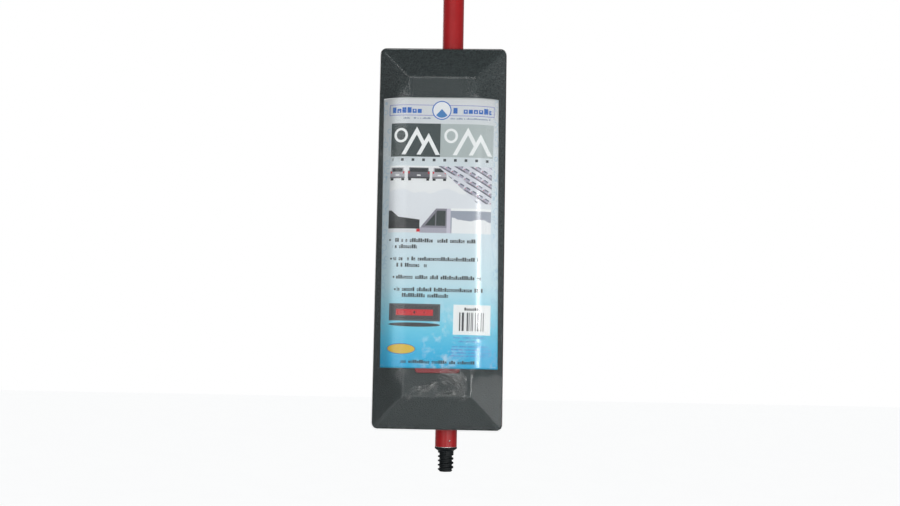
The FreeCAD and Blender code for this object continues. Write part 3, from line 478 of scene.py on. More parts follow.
def make_back_film():
    """Film from rim to rim over the handle, drawn in at both ends towards the handle."""
    section = tent_section(HANDLE_RADIUS + 0.7)
    centre = np.array([HANDLE_ACROSS, HANDLE_BACK])
    near_ends = (0.0, 1.0, 2.5, 4.5, 7.0, 11.0)
    even = FILM_UP - 18
    levels = [inset - FILM_UP for inset in near_ends] + list(np.linspace(-even, even, 70))
    levels += [FILM_UP - inset for inset in reversed(near_ends)]
    points, folds = [], []
    for up in levels:
        near_end = math.exp(-(FILM_UP - abs(up)) / 14.0)
        for across, back in section:
            away = np.array([across, back]) - centre
            turn = math.atan2(away[1], away[0])
            sway = noise.noise(Vector((across / 9, back / 9, up / 40)))
            ripple = 0.5 + 0.5 * math.sin(26 * turn + 2.0 * sway)
            slack = math.sin(math.pi * min(1.0, max(0.0, (back - 5) / (HANDLE_BACK - 5))))
            dip = (0.35 + 1.3 * near_end) * ripple * slack
            dip += 0.6 * slack * (0.5 + noise.noise(Vector((across / 25, back / 25, up / 60))))
            inward = -away[0] / max(np.linalg.norm(away), 1.0)
            if np.linalg.norm(away) <= HANDLE_RADIUS + 3:
                dip = 0.0
            placed, level = square_corner_to_round(across, up, FILM_CORNER, FILM_ACROSS, FILM_UP)
            points.append((placed + inward * dip * 0.4, -(back - dip * 0.8), level))
            folds.append(0.3 * near_end * ripple * slack)
    columns = len(section)
    faces = grid_faces(len(levels), columns, flip=True)
    points, faces, folds = close_ends(points, faces, folds, columns, len(levels))
    item = make_object("film_back", head_points(points), faces)
    float_layer(item, "folds", folds)
    return item


def close_ends(points, faces, folds, columns, level_count):
    """End walls of the rear film: the last section drawn in to an opening round the handle."""
    centre = np.array([HANDLE_ACROSS, -HANDLE_BACK])
    for level, way in ((0, -1), (level_count - 1, 1)):
        ring = [np.array(points[level * columns + k]) for k in range(columns)]
        previous = [level * columns + k for k in range(columns)]
        for share in (0.25, 0.5, 0.75, 1.0):
            fresh = []
            for spot in ring:
                away = spot[:2] - centre
                distance = max(np.linalg.norm(away), 1e-6)
                angle = math.atan2(away[1], away[0])
                reach = HANDLE_RADIUS + 0.9 + 0.5 * (1 + math.sin(9 * angle))
                target = centre + away / distance * min(reach, distance)
                if target[1] > centre[1]:
                    # in front of its widest line the handle must still pass when the film lifts off
                    beside = max(abs(target[0] - centre[0]), HANDLE_RADIUS + 0.9)
                    target[0] = centre[0] + math.copysign(beside, target[0] - centre[0])
                target[1] = max(target[1], -HANDLE_BACK - 2 * HANDLE_RADIUS)
                place = between(spot[:2], target, share)
                crinkle = 0.5 * math.sin(17 * angle) * math.sin(math.pi * share)
                level_here = spot[2] + way * (0.1 + 0.25 * crinkle * share)
                fresh.append((place[0], min(place[1], -0.3), level_here))
            start = len(points)
            points += fresh
            folds += [0.35 * share] * columns
            for k in range(columns - 1):
                quad = (previous[k], previous[k + 1], start + k + 1, start + k)
                faces.append(quad if way < 0 else quad[::-1])
            previous = [start + k for k in range(columns)]
    return points, faces, folds


# ---------------- materials

class Nodes:
    """The nodes of a material or a world, with short calls for making them."""

    def __init__(self, owner):
        owner.use_nodes = True
        self.tree = owner.node_tree
        self.tree.nodes.clear()

    def node(self, kind, **sockets):
        """A new node, with the sockets named set to values or linked to other sockets."""
        node = self.tree.nodes.new(kind)
        for name, value in sockets.items():
            self.feed(node.inputs[name.replace("_", " ")], value)
        return node

    def link(self, source, target):
        self.tree.links.new(source, target)

    def feed(self, socket, value):
        if isinstance(value, bpy.types.NodeSocket):
            self.link(value, socket)
        elif value is not None:
            socket.default_value = value

    def math(self, operation, a, b=None, c=None):
        node = self.node("ShaderNodeMath")
        node.operation = operation
        for socket, value in zip(node.inputs, (a, b, c)):
            self.feed(socket, value)
        return node.outputs[0]

    def times(self, a, b):
        return self.math("MULTIPLY", a, b)

    def near(self, value, centre, reach):
        """1 within reach of centre, and 0 elsewhere."""
        return self.math("COMPARE", value, centre, reach)

    def mix(self, share, first, second):
        node = self.node("ShaderNodeMix")
        node.data_type = "RGBA"
        self.feed(node.inputs[0], share)
        self.feed(node.inputs[6], first if isinstance(first, bpy.types.NodeSocket) else (*first, 1))
        self.feed(node.inputs[7], second if isinstance(second, bpy.types.NodeSocket) else (*second, 1))
        return node.outputs[2]

    def ramp(self, value, low, high, start=0.0, end=1.0):
        node = self.node("ShaderNodeMapRange")
        node.clamp = True
        for socket, item in zip(node.inputs, (value, low, high, start, end)):
            self.feed(socket, item)
        return node.outputs[0]

    def place(self):
        return self.node("ShaderNodeTexCoord").outputs["Object"]

    def stretched(self, vector, scale):
        node = self.node("ShaderNodeVectorMath")
        node.operation = "MULTIPLY"
        self.feed(node.inputs[0], vector)
        node.inputs[1].default_value = scale
        return node.outputs[0]

    def noise(self, vector, scale, detail=2.0, rough=0.5):
        node = self.node("ShaderNodeTexNoise", Vector=vector, Scale=scale, Detail=detail, Roughness=rough)
        return node.outputs["Fac"]

    def cells(self, vector, scale):
        return self.node("ShaderNodeTexVoronoi", Vector=vector, Scale=scale).outputs["Distance"]

    def random(self, value):
        """A node that gives each whole number a random value and colour of its own."""
        node = self.node("ShaderNodeTexWhiteNoise")
        node.noise_dimensions = "1D"
        self.link(value, node.inputs["W"])
        return node

    def bump(self, height, distance, strength=1.0, below=None):
        node = self.node("ShaderNodeBump", Distance=distance, Strength=strength, Height=height, Normal=below)
        return node.outputs[0]

    def blend(self, share, first, second):
        """One shader faded into another."""
        node = self.node("ShaderNodeMixShader")
        for socket, value in zip(node.inputs, (share, first.outputs[0], second.outputs[0])):
            self.feed(socket, value)
        return node


class Shade(Nodes):
    """One material, round a principled shader."""

    def __init__(self, name, **sockets):
        self.material = bpy.data.materials.new(name)
        super().__init__(self.material)
        self.surface = self.node("ShaderNodeBsdfPrincipled", **sockets)
        self.output = self.node("ShaderNodeOutputMaterial", Surface=self.surface.outputs[0])

    def colour(self, value):
        self.feed(self.surface.inputs["Base Color"], value)

    def rough(self, value):
        self.feed(self.surface.inputs["Roughness"], value)

    def normal(self, value):
        self.link(value, self.surface.inputs["Normal"])

    def worn(self, marks, least, most, depth, strength=0.5):
        """Roughness from least to most and a fine relief, both following the same marks."""
        self.rough(self.ramp(marks, 0.3, 0.7, least, most))
        self.normal(self.bump(marks, depth, strength))


def foam_material():
    """Charcoal closed-cell foam with a fine pebbled skin."""
    shade = Shade("foam_charcoal", Specular_IOR_Level=0.4)
    where = shade.place()
    grain = shade.noise(where, 640, 2, 0.7)
    cells = shade.cells(where, 480)
    mottle = shade.noise(where, 110, 3, 0.6)
    base = shade.mix(shade.ramp(grain, 0.40, 0.62), (0.008, 0.015, 0.016), (0.050, 0.070, 0.072))
    shade.colour(shade.mix(shade.ramp(mottle, 0.35, 0.7, 0.0, 0.30), base, (0.020, 0.030, 0.032)))
    shade.rough(shade.ramp(cells, 0.0, 0.7, 0.46, 0.68))
    pebble = shade.bump(cells, 0.00022, 0.55)
    shade.normal(shade.bump(grain, 0.00014, 0.7, pebble))
    return shade.material


def plate_material():
    """Red moulded plastic with a fine spark-eroded texture."""
    shade = Shade("plate_red", Specular_IOR_Level=0.5)
    where = shade.place()
    fine = shade.noise(where, 1500, 2)
    flow = shade.noise(shade.stretched(where, (40, 40, 9)), 1.0, 3)
    shade.colour(shade.mix(shade.ramp(flow, 0.3, 0.7), (0.27, 0.008, 0.014), (0.33, 0.012, 0.020)))
    shade.worn(fine, 0.34, 0.5, 0.00004)
    return shade.material


def sleeve_material():
    """Red plastic skin drawn on to the tube: faint lengthwise lines, small scuffs."""
    shade = Shade("sleeve_red", Specular_IOR_Level=0.34)
    where = shade.place()
    lines = shade.noise(shade.stretched(where, (900, 900, 3)), 1.0, 3)
    clouds = shade.noise(where, 60, 3)
    scuffs = shade.noise(shade.stretched(where, (300, 300, 60)), 1.0, 4, 0.7)
    base = shade.mix(shade.ramp(clouds, 0.3, 0.7), (0.300, 0.002, 0.004), (0.345, 0.004, 0.006))
    shade.colour(shade.mix(shade.ramp(scuffs, 0.66, 0.8, 0.0, 0.25), base, (0.38, 0.04, 0.04)))
    shade.worn(lines, 0.30, 0.42, 0.00003, 0.6)
    return shade.material


def black_material():
    """Black moulded plastic, faintly scuffed in scattered patches."""
    shade = Shade("plastic_black", Specular_IOR_Level=0.15)
    where = shade.place()
    fine = shade.noise(where, 1200, 3)
    scuffs = shade.noise(where, 260, 4, 0.7)
    scuffed = shade.ramp(scuffs, 0.55, 0.8, 0.0, 0.6)
    shade.colour(shade.mix(scuffed, (0.004, 0.006, 0.007), (0.018, 0.021, 0.022)))
    shade.worn(fine, 0.36, 0.55, 0.00005)
    return shade.material


def steel_material(name, colour, rough, scale):
    """Drawn or plated steel with fine lengthwise marks."""
    shade = Shade(name, Metallic=1.0)
    where = shade.place()
    marks = shade.noise(shade.stretched(where, scale), 1.0, 3)
    dark = tuple(0.72 * part for part in colour)
    shade.colour(shade.mix(shade.ramp(marks, 0.3, 0.7), dark, colour))
    shade.worn(marks, rough, rough + 0.15, 0.00003)
    return shade.material


def film_material():
    """Clear shrink film: see-through, with a sharp gloss, and milky where it is crumpled."""
    shade = Shade("film_clear")
    shade.tree.nodes.remove(shade.surface)
    where = shade.place()
    attribute = shade.node("ShaderNodeAttribute")
    attribute.attribute_name = "folds"
    folds = attribute.outputs["Fac"]
    ripple = shade.noise(shade.stretched(where, (120, 120, 60)), 1.0, 3, 0.6)
    crease = shade.noise(where, 900, 4, 0.7)
    deep = shade.times(crease, shade.ramp(folds, 0.02, 0.4))
    bent = shade.bump(ripple, 0.0006, 0.12)
    bent = shade.bump(deep, 0.0014, 0.9, bent)
    clear = shade.node("ShaderNodeBsdfTransparent", Color=(0.965, 0.975, 0.975, 1))
    gloss = shade.node("ShaderNodeBsdfGlossy", Roughness=0.18, Normal=bent)
    fresnel = shade.node("ShaderNodeFresnel", IOR=1.5, Normal=bent)
    glint = shade.ramp(folds, 0.05, 0.6, 1.15, 3.2)
    mirror = shade.blend(shade.times(fresnel.outputs[0], glint), clear, gloss)
    milk = shade.node("ShaderNodeBsdfDiffuse", Color=(0.80, 0.80, 0.78, 1))
    haze = shade.times(shade.ramp(folds, 0.05, 0.5), shade.ramp(crease, 0.45, 0.75))
    whole = shade.blend(shade.math("MULTIPLY_ADD", haze, 0.4, 0.006), mirror, milk)
    shade.link(whole.outputs[0], shade.output.inputs["Surface"])
    return shade.material


# ---------------- the card's print

class Print(Shade):
    """Paints shapes on the card, each over the last.  Places are in millimetres from its middle."""

    def __init__(self, name, **sockets):
        super().__init__(name, **sockets)
        turn = self.node("ShaderNodeMapping", Vector=self.place(), Rotation=(0, CARD_TILT, 0),
                         Location=(HEAD.x, 0, HEAD.z + CARD_UP * MM), Scale=(MM, MM, MM))
        turn.vector_type = "TEXTURE"
        self.where = turn.outputs[0]
        parts = self.node("ShaderNodeSeparateXYZ", Vector=self.where)
        self.across, self.up = parts.outputs["X"], parts.outputs["Z"]
        self.paint = None

    def over(self, mask, colour):
        self.paint = self.mix(mask, self.paint, colour)

    def box(self, left, bottom, right, top):
        inside_across = self.near(self.across, (left + right) / 2, (right - left) / 2)
        inside_up = self.near(self.up, (bottom + top) / 2, (top - bottom) / 2)
        return self.times(inside_across, inside_up)

    def boxes(self, *items):
        """Fill boxes, each given by its left, bottom, right, top and colour."""
        for *edges, colour in items:
            self.over(self.box(*edges), colour)

    def frame(self, left, bottom, right, top, line):
        inner = self.box(left + line, bottom + line, right - line, top - line)
        return self.math("SUBTRACT", self.box(left, bottom, right, top), inner)

    def above(self, mask, slope, level, test="GREATER_THAN"):
        """The part of a mask above a slanted line."""
        height = self.math("MULTIPLY_ADD", self.across, slope, level)
        return self.times(mask, self.math(test, self.up, height))

    def under(self, mask, slope, level):
        """The part of a mask under a slanted line."""
        return self.above(mask, slope, level, "LESS_THAN")

    def oval(self, centre, radii):
        x = self.math("DIVIDE", self.math("SUBTRACT", self.across, centre[0]), radii[0])
        y = self.math("DIVIDE", self.math("SUBTRACT", self.up, centre[1]), radii[1])
        total = self.math("ADD", self.times(x, x), self.times(y, y))
        return self.math("LESS_THAN", total, 1.0)

    def waves(self, mask, low, high, slope_noise):
        """The part of a mask under a wavy line between two heights."""
        line = self.math("MULTIPLY_ADD", slope_noise, high - low, low)
        return self.times(mask, self.math("LESS_THAN", self.up, line))


PAPER = (0.80, 0.81, 0.82)
GROUND = (
    # up from the card's middle in mm, colour
    (157, (0.68, 0.69, 0.70)), (-14, (0.66, 0.76, 0.81)), (-62, (0.57, 0.75, 0.81)),
    (-80, (0.43, 0.71, 0.80)), (-115, (0.17, 0.63, 0.79)), (-139, (0.045, 0.52, 0.76)),
    (-158, (0.004, 0.44, 0.71)),
)
INK = (0.012, 0.014, 0.018)
CHARCOAL = (0.048, 0.070, 0.073)
SILVER = (0.46, 0.51, 0.51)
CHALK = (0.86, 0.87, 0.87)
VIOLET = (0.12, 0.14, 0.52)
DEEP_BLUE = (0.025, 0.15, 0.52)
RED = (0.62, 0.02, 0.03)

TEXT_LINES = (
    # left, right, middle height, height of the tall letters
    (-55.6, 43.0, -11.2, 4.6), (-55.6, -26.0, -18.6, 4.6),
    (-54.0, 46.0, -32.9, 4.6), (-51.5, -14.0, -40.6, 4.6),
    (-50.0, 50.0, -54.6, 4.6),
    (-48.5, 54.0, -69.0, 4.6), (-46.5, 12.0, -76.0, 4.6),
    (-41.5, 44.7, -153.2, 3.8),
)
BULLETS = ((-58.6, -11.2), (-56.6, -33.4), (-52.8, -55.0), (-50.8, -69.4))
SMALL_LINES = (
    (19.5, 57.5, -124.2), (25.5, 51.5, -128.6),
    (18.0, 60.0, -134.6), (16.0, 62.5, -138.2), (16.0, 62.5, -141.8), (15.5, 62.5, -145.4),
)


def card_ground(page):
    """Pale grey at the top, through pale blue, to bright blue at the foot, with frosty mottling."""
    page.paint = GROUND[0][1]
    for (above, _), (below, colour) in zip(GROUND, GROUND[1:]):
        page.over(page.ramp(page.up, above, below), colour)
    frost = page.noise(page.where, 0.085, 6, 0.68)
    low = page.ramp(page.up, -60, -110)
    middle_band = page.ramp(page.math("ABSOLUTE", page.math("SUBTRACT", page.across, 4.0)), 34, 10)
    frosty = page.times(page.times(low, middle_band), page.ramp(frost, 0.48, 0.66))
    page.over(page.times(frosty, 0.55), (0.80, 0.84, 0.88))
    margins = page.ramp(page.math("ABSOLUTE", page.across), 60.5, 63.0)
    flakes = page.cells(page.where, 0.12)
    rim = page.near(flakes, 0.42, 0.05)
    page.over(page.times(page.times(margins, rim), 0.45), (0.30, 0.50, 0.66))


def letter_mask(page, width, foot, height, seed):
    """Upright strokes of uneven height and shape on one line, in place of words; they spell nothing."""
    column = page.math("FLOOR", page.math("DIVIDE", page.across, width))
    random = page.random(page.math("ADD", column, seed))
    parts = page.node("ShaderNodeSeparateColor", Color=random.outputs["Color"])
    inked = page.math("GREATER_THAN", parts.outputs[0], 0.12)
    tall = page.math("MULTIPLY_ADD", page.math("GREATER_THAN", parts.outputs[1], 0.62), 0.28 * height,
                      foot + 0.72 * height)
    below = page.math("LESS_THAN", page.up, tall)
    within = page.math("FRACT", page.math("DIVIDE", page.across, width))
    stroke = page.near(within, 0.46, 0.40)
    hollow_across = page.near(within, 0.46, 0.13)
    rise = page.math("MULTIPLY_ADD", parts.outputs[2], 0.3 * height, foot + 0.2 * height)
    hollow_up = page.near(page.up, rise, 0.15 * height)
    hollow = page.times(hollow_across, hollow_up)
    hollow = page.times(hollow, page.math("LESS_THAN", parts.outputs[1], 0.5))
    solid = page.math("SUBTRACT", stroke, hollow)
    return page.times(page.times(inked, below), solid)


def card_heading(page):
    """A framed band with a plain round badge, and below it two blocks and a row of dots."""
    page.over(page.frame(-63.7, 138.6, 61.4, 151.6, 0.55), VIOLET)
    dashes = letter_mask(page, 6.1, 141.6, 6.8, 1.0)
    for left, right in ((-60, -15), (12, 58)):
        page.over(page.times(page.box(left, 141.6, right, 148.4), dashes), DEEP_BLUE)
    badge = (-1.2, 145.2)
    page.over(page.oval(badge, (11.5, 11.5)), DEEP_BLUE)
    page.over(page.oval(badge, (10.3, 10.3)), PAPER)
    hill = page.under(page.oval(badge, (9.0, 9.0)), 1.1, 148.0)
    page.over(page.under(hill, -1.1, 145.6), (0.06, 0.24, 0.52))
    small = letter_mask(page, 1.5, 134.4, 2.0, 2.0)
    for left, right in ((-47, -14), (9, 57)):
        page.over(page.times(page.box(left, 134.4, right, 136.4), small), (0.25, 0.30, 0.42))
    card_blocks(page)
    along = page.math("FRACT", page.math("DIVIDE", page.across, 12.6))
    spaced = page.near(along, 0.3, 0.13)
    page.over(page.times(page.box(-58.5, 83.4, 60, 86.6), spaced), (0.05, 0.06, 0.07))


HILL_SLOPE = 1.9
STROKE_DROP = 9.5


def hill_under(page, mask, top, height):
    """The part of a mask under a peak at top, as high as height."""
    rising = page.under(mask, HILL_SLOPE, height - HILL_SLOPE * top)
    return page.under(rising, -HILL_SLOPE, height + HILL_SLOPE * top)


def card_blocks(page):
    """A dark and a silver block, each with the strokes of a ridge of hills beside a round sun."""
    stroke = CHALK
    for left, right, ground in ((-60.8, -2.0, CHARCOAL), (-2.0, 61.0, SILVER)):
        block = page.box(left, 88.7, right, 128.9)
        page.over(block, ground)
        width = right - left
        sun = (left + 0.20 * width, 114.5)
        page.over(page.oval(sun, (8.2, 8.8)), stroke)
        page.over(page.oval(sun, (5.2, 5.8)), ground)
        for peak, height in ((0.52, 125.0), (0.76, 117.5)):
            top = left + peak * width
            page.over(hill_under(page, block, top, height), stroke)
            page.over(hill_under(page, block, top, height - STROKE_DROP), ground)
        page.over(page.box(left, 88.7, right, 91.2), ground)


PARKED_CARS = (
    # left side, width, colour
    (-60.8, 17.5, (0.42, 0.42, 0.45)), (-39.5, 26.0, (0.13, 0.13, 0.15)), (-10.5, 17.0, (0.48, 0.46, 0.50)),
)


def card_picture(page):
    """A plain winter scene: parked cars under snow, with nobody in it."""
    panel = page.box(-61.1, -2.1, 60.1, 77.8)
    page.over(panel, (0.80, 0.81, 0.82))
    far = page.noise(page.where, 0.05, 4)
    drift = page.noise(page.where, 0.03, 3)
    page.over(page.waves(panel, 30.0, 60.0, drift), (0.74, 0.76, 0.79))
    for left, width, body in PARKED_CARS:
        parked_car(page, left, width, body)
    parked_rows(page, panel, far)
    card_near_car(page, far)


def parked_car(page, left, width, body):
    """The back of one car, seen small: roof under snow, glass, lamps, bumper and two tyres."""
    right = left + width
    page.boxes(
        (left + 0.5, 60.0, left + 4.0, 64.0, INK),
        (right - 4.0, 60.0, right - 0.5, 64.0, INK),
        (left, 62.5, right, 71.5, body),
        (left + 1.5, 70.0, right - 1.5, 76.0, tuple(0.8 * part for part in body)),
        (left + 2.8, 70.5, right - 2.8, 74.6, (0.03, 0.035, 0.04)),
        (left + 0.8, 75.6, right - 0.8, 77.4, CHALK),
        (left + 0.4, 68.4, left + 2.2, 70.6, RED),
        (right - 2.2, 68.4, right - 0.4, 70.6, RED),
        (left, 62.5, right, 64.4, tuple(0.45 * part for part in body)),
        (left + 0.5 * width - 2.2, 65.6, left + 0.5 * width + 2.2, 67.2, CHALK),
    )


def parked_rows(page, panel, far):
    """Slanting rows of parked cars under snow, from the top of the picture to its right side."""
    wedge = page.above(page.above(panel, -0.92, 74.0), 0.05, 31.0)
    page.over(wedge, (0.70, 0.71, 0.76))
    along = page.math("MULTIPLY_ADD", page.up, -0.7, page.times(page.across, 0.72))
    over = page.math("MULTIPLY_ADD", page.across, 0.5, page.times(page.up, 0.86))
    row = page.math("FRACT", page.math("DIVIDE", over, 9.2))
    spot = page.math("FRACT", page.math("DIVIDE", along, 8.4))
    shadow = page.times(page.near(row, 0.18, 0.10), page.ramp(far, 0.38, 0.5))
    page.over(page.times(wedge, shadow), (0.16, 0.16, 0.20))
    for height, half_height, place, half_width, colour in (
        (0.42, 0.13, 0.5, 0.40, (0.44, 0.42, 0.52)),     # body
        (0.60, 0.07, 0.5, 0.30, (0.10, 0.13, 0.16)),     # glass
        (0.40, 0.05, 0.16, 0.05, RED),                   # lamp
    ):
        part = page.times(page.near(row, height, half_height), page.near(spot, place, half_width))
        page.over(page.times(wedge, part), colour)


def card_near_car(page, far):
    """The nearest cars, half buried in snow: a dark bonnet, and a cab with its side windows."""
    bonnet = page.under(page.box(-61.1, 2.5, -24.0, 18.0), -0.12, 10.5)
    page.over(bonnet, (0.02, 0.022, 0.026))
    windscreen = page.under(page.box(-61.1, 10.5, -46.0, 24.0), -0.9, -28.0)
    page.over(windscreen, (0.035, 0.04, 0.045))
    page.boxes(
        (-61.1, -2.1, -27.0, 1.4, (0.72, 0.73, 0.75)),
        (-24.0, -2.1, 60.1, 4.5, (0.44, 0.43, 0.50)),
    )
    cab = page.under(page.box(-22.0, 4.0, 12.0, 27.0), 1.25, 33.0)
    page.over(cab, (0.26, 0.25, 0.30))
    glass = page.under(page.box(-18.0, 6.5, 6.5, 24.5), 1.25, 28.5)
    page.over(glass, (0.035, 0.05, 0.05))
    page.boxes(
        (-5.6, 6.5, -4.4, 24.5, (0.20, 0.20, 0.23)),
        (8.0, -2.1, 12.5, 27.0, (0.60, 0.58, 0.66)),
        (12.5, 4.0, 60.1, 27.0, (0.36, 0.39, 0.46)),
        (12.5, 24.6, 60.1, 27.6, CHALK),
    )
    page.over(page.waves(page.box(14.0, -2.1, 60.1, 26.0), 2.0, 24.0, far), (0.82, 0.83, 0.84))
    page.over(page.box(-27.5, -1.0, -23.5, 2.4), RED)


def stroke_line(page, left, right, foot, height, width, seed, strength, colour):
    """One line of strokes of one width in place of words."""
    line = page.times(page.box(left, foot, right, foot + height), strength)
    page.over(page.times(line, letter_mask(page, width, foot, height, seed)), colour)


def card_small_print(page):
    """Lines of strokes, four bullets, a sketch of the head, a striped panel and a plain seal."""
    for number, (left, right, height, size) in enumerate(TEXT_LINES):
        stroke_line(page, left, right, height - size / 2, size, 2.5, 40.0 * number, 0.92, INK)
    for centre in BULLETS:
        page.over(page.oval(centre, (1.1, 1.1)), INK)
    for number, (left, right, height) in enumerate(SMALL_LINES):
        stroke_line(page, left, right, height - 0.9, 1.8, 1.3, 90.0 + 40.0 * number, 0.6, VIOLET)
    card_sketch(page)
    card_stripes(page)
    page.over(page.oval((-41.5, -138.8), (17.0, 6.4)), DEEP_BLUE)
    page.over(page.oval((-41.5, -138.8), (16.2, 5.6)), (0.72, 0.52, 0.04))


def card_sketch(page):
    """A small drawing of the foam head, face on and edge on."""
    page.boxes(
        (-57.0, -106.1, 3.2, -86.0, (0.10, 0.10, 0.11)),
        (-54.5, -104.2, 0.7, -88.0, (0.065, 0.065, 0.072)),
        (-48.7, -99.7, -5.1, -92.5, RED),
    )
    page.over(page.oval((-26.9, -96.1), (1.3, 1.3)), INK)
    for across in (-38.4, -15.4):
        page.over(page.oval((across, -96.1), (0.7, 0.7)), INK)
    page.over(page.oval((-26.9, -110.4), (30.5, 2.4)), (0.05, 0.05, 0.055))


def card_stripes(page):
    """A white panel with upright bars; they hold no code."""
    page.over(page.box(18.6, -121.0, 62.1, -86.0), CHALK)
    column = page.math("FLOOR", page.math("DIVIDE", page.across, 0.82))
    inked = page.math("GREATER_THAN", page.random(column).outputs["Value"], 0.5)
    page.over(page.times(page.box(25.6, -116.5, 56.1, -95.0), inked), (0.05, 0.05, 0.06))
    heading = letter_mask(page, 2.4, -92.6, 3.4, 9.0)
    page.over(page.times(page.box(31.5, -92.6, 49.5, -89.2), heading), INK)


def card_material():
    """The printed face of the card, satin ink on coated board."""
    page = Print("card_print", Specular_IOR_Level=0.45)
    card_ground(page)
    card_heading(page)
    card_picture(page)
    card_small_print(page)
    fibre = page.noise(page.where, 1.6, 3)
    page.colour(page.paint)
    page.worn(fibre, 0.38, 0.52, 0.00003, 0.4)
    return page.material


def board_material():
    """Bare grey board: the card's back and edges."""
    shade = Shade("card_board", Specular_IOR_Level=0.3)
    where = shade.place()
    fibre = shade.noise(shade.stretched(where, (700, 700, 1500)), 1.0, 4)
    shade.colour(shade.mix(shade.ramp(fibre, 0.3, 0.7), (0.42, 0.41, 0.38), (0.56, 0.55, 0.52)))
    shade.worn(fibre, 0.8, 0.92, 0.00006)
    return shade.material


# ---------------- stage

FLOOR_GLOW = 0.16       # how strongly it lights the object
FLOOR_SEEN = 0.80       # and how strongly it glows to the eye
FLOOR_DROP = 1.0
FLOOR_HALF = 30.0


def make_floor():
    """A wide pale floor below the hanging broom."""
    level = cad_box[0][2] - FLOOR_DROP
    corners = [(x * FLOOR_HALF, y * FLOOR_HALF, level) for x, y in ((-1, -1), (1, -1), (1, 1), (-1, 1))]
    floor = make_object("floor", corners, [(0, 1, 2, 3)], smooth=False)
    shade = Shade("floor_pale", Roughness=0.8, Specular_IOR_Level=0.1, Emission_Color=(1, 1, 1, 1))
    path = shade.node("ShaderNodeLightPath")
    glow = shade.ramp(path.outputs["Is Camera Ray"], 0, 1, FLOOR_GLOW, FLOOR_SEEN)
    shade.feed(shade.surface.inputs["Emission Strength"], glow)
    spots = shade.noise(shade.place(), 3.0, 2)
    shade.colour(shade.mix(shade.ramp(spots, 0.3, 0.7), (0.66, 0.66, 0.66), (0.70, 0.70, 0.70)))
    floor.data.materials.append(shade.material)


def make_light(name, place, aim, size, power):
    """A rectangular lamp at a place, facing a point; both in metres about the head's middle."""
    data = bpy.data.lights.new(name, "AREA")
    data.shape = "RECTANGLE"
    data.size, data.size_y = size
    data.energy = power
    lamp = add_object(name, data)
    lamp.location = HEAD + Vector(place)
    lamp.rotation_mode = "QUATERNION"
    lamp.rotation_quaternion = (Vector(aim) - Vector(place)).to_track_quat("-Z", "Y")


def make_lights():
    make_light("soft_right", (1.75, -1.5, -0.1), (0, 0, 0), (1.4, 1.6), 12.5)
    make_light("strip_right", (0.66, -1.87, 0.02), (0, 0, 0), (0.27, 0.7), 12)
    make_light("soft_left", (-1.15, -2.3, 0.0), (0, 0, 0), (1.2, 1.9), 10)
    make_light("low_left", (-0.60, -3.0, -0.55), (0, 0, -0.1), (0.92, 0.9), 1.0)
    make_light("high_front", (-0.4, -2.3, 1.7), (0, 0, 0), (2.6, 0.9), 13)
    make_light("low_front", (-0.3, -2.3, -1.0), (0, 0, 0), (1.8, 0.45), 7)
    make_light("soft_behind", (-1.5, 2.4, 0.5), (0, 0, 0.3), (1.4, 1.6), 18)


def make_world():
    """A white surround to the eye; as a source of light it is dimmer, and dimmest overhead."""
    world = bpy.data.worlds.new("surround")
    bpy.context.scene.world = world
    sky = Nodes(world)
    bearing = sky.node("ShaderNodeTexCoord").outputs["Generated"]
    height = sky.node("ShaderNodeSeparateXYZ", Vector=bearing).outputs["Z"]
    strength = sky.ramp(height, 0.15, 0.6, 0.46, 0.20)
    lit = sky.node("ShaderNodeBackground", Color=(0.94, 0.98, 1, 1), Strength=strength)
    seen = sky.node("ShaderNodeBackground", Color=(1, 1, 1, 1))
    to_eye = sky.node("ShaderNodeLightPath").outputs["Is Camera Ray"]
    sky.node("ShaderNodeOutputWorld", Surface=sky.blend(to_eye, lit, seen).outputs[0])


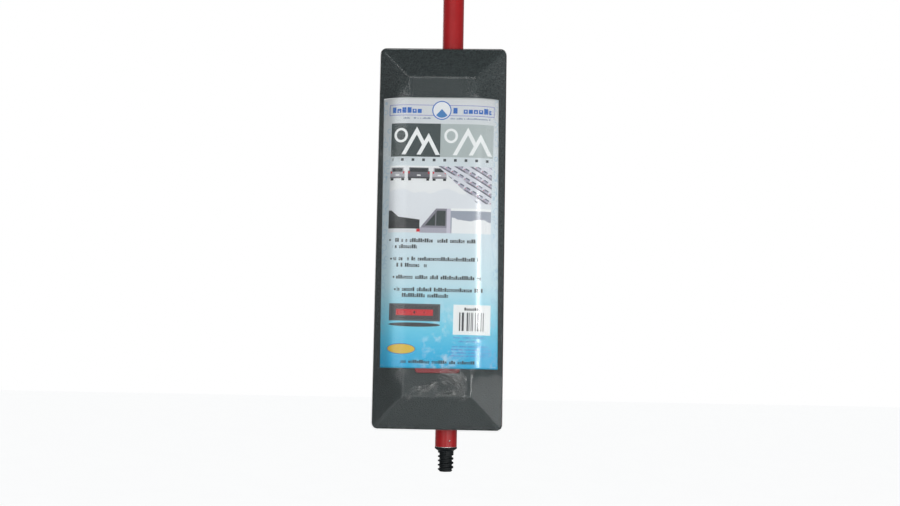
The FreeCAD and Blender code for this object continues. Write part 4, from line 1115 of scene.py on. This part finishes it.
CAMERA_LENS, CAMERA_SENSOR = 41.556, 36.0
CAMERA_TURN = (-2.02, 5.91, 1.01)               # yaw, pitch and roll, in degrees
CAMERA_PLACE = (55.5, -1232.9, -147.7)          # millimetres from the foam's middle


def make_camera():
    """A camera a little right of and below the head's middle, looking slightly up at it."""
    data = bpy.data.cameras.new("view")
    data.lens, data.sensor_width = CAMERA_LENS, CAMERA_SENSOR
    camera = add_object("view", data)
    bpy.context.scene.camera = camera
    yaw, pitch, roll = (math.radians(angle) for angle in CAMERA_TURN)
    ahead = Vector((math.sin(yaw) * math.cos(pitch), math.cos(yaw) * math.cos(pitch), math.sin(pitch)))
    right = Vector((math.cos(yaw), -math.sin(yaw), 0))
    top = right.cross(ahead)
    level = math.cos(roll) * right + math.sin(roll) * top
    upright = math.cos(roll) * top - math.sin(roll) * right
    place = HEAD + Vector(CAMERA_PLACE) * MM
    turn = Matrix((level, upright, -ahead)).transposed().to_4x4()
    camera.matrix_world = Matrix.Translation(place) @ turn


# ---------------- putting it together

def dress(node, material):
    """Give a CAD node one material in every slot."""
    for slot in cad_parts[node].material_slots:
        slot.material = material


def main():
    bpy.context.scene.view_settings.view_transform = "Standard"
    make_world()
    make_floor()
    make_lights()
    make_camera()

    foam = make_foam()
    foam.data.materials.append(foam_material())
    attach(foam, "head")
    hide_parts("foam_head")

    card = make_card()
    card.data.materials.append(card_material())
    card.data.materials.append(board_material())
    for face in card.data.polygons:
        face.material_index = 0 if face.normal.y < -0.5 else 1
    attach(card, "front_wrap")
    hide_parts("label_card")

    film = film_material()
    for item, node, body in ((make_front_film(), "front_film", "front_wrap"),
                             (make_back_film(), "back_film", "back_wrap")):
        item.data.materials.append(film)
        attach(item, body)
        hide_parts(node)

    red = plate_material()
    black = black_material()
    zinc = steel_material("steel_zinc", (0.62, 0.62, 0.58), 0.3, (900, 900, 900))
    drawn = steel_material("steel_drawn", (0.55, 0.55, 0.55), 0.28, (800, 800, 12))
    for node, material in (
        ("socket_plate", red), ("back_plate", red), ("plate_screws", zinc), ("plate_nuts", zinc),
        ("handle_tube", drawn), ("handle_sleeve", sleeve_material()),
        ("threaded_tip", black), ("hanger_cap", black),
    ):
        dress(node, material)


main()
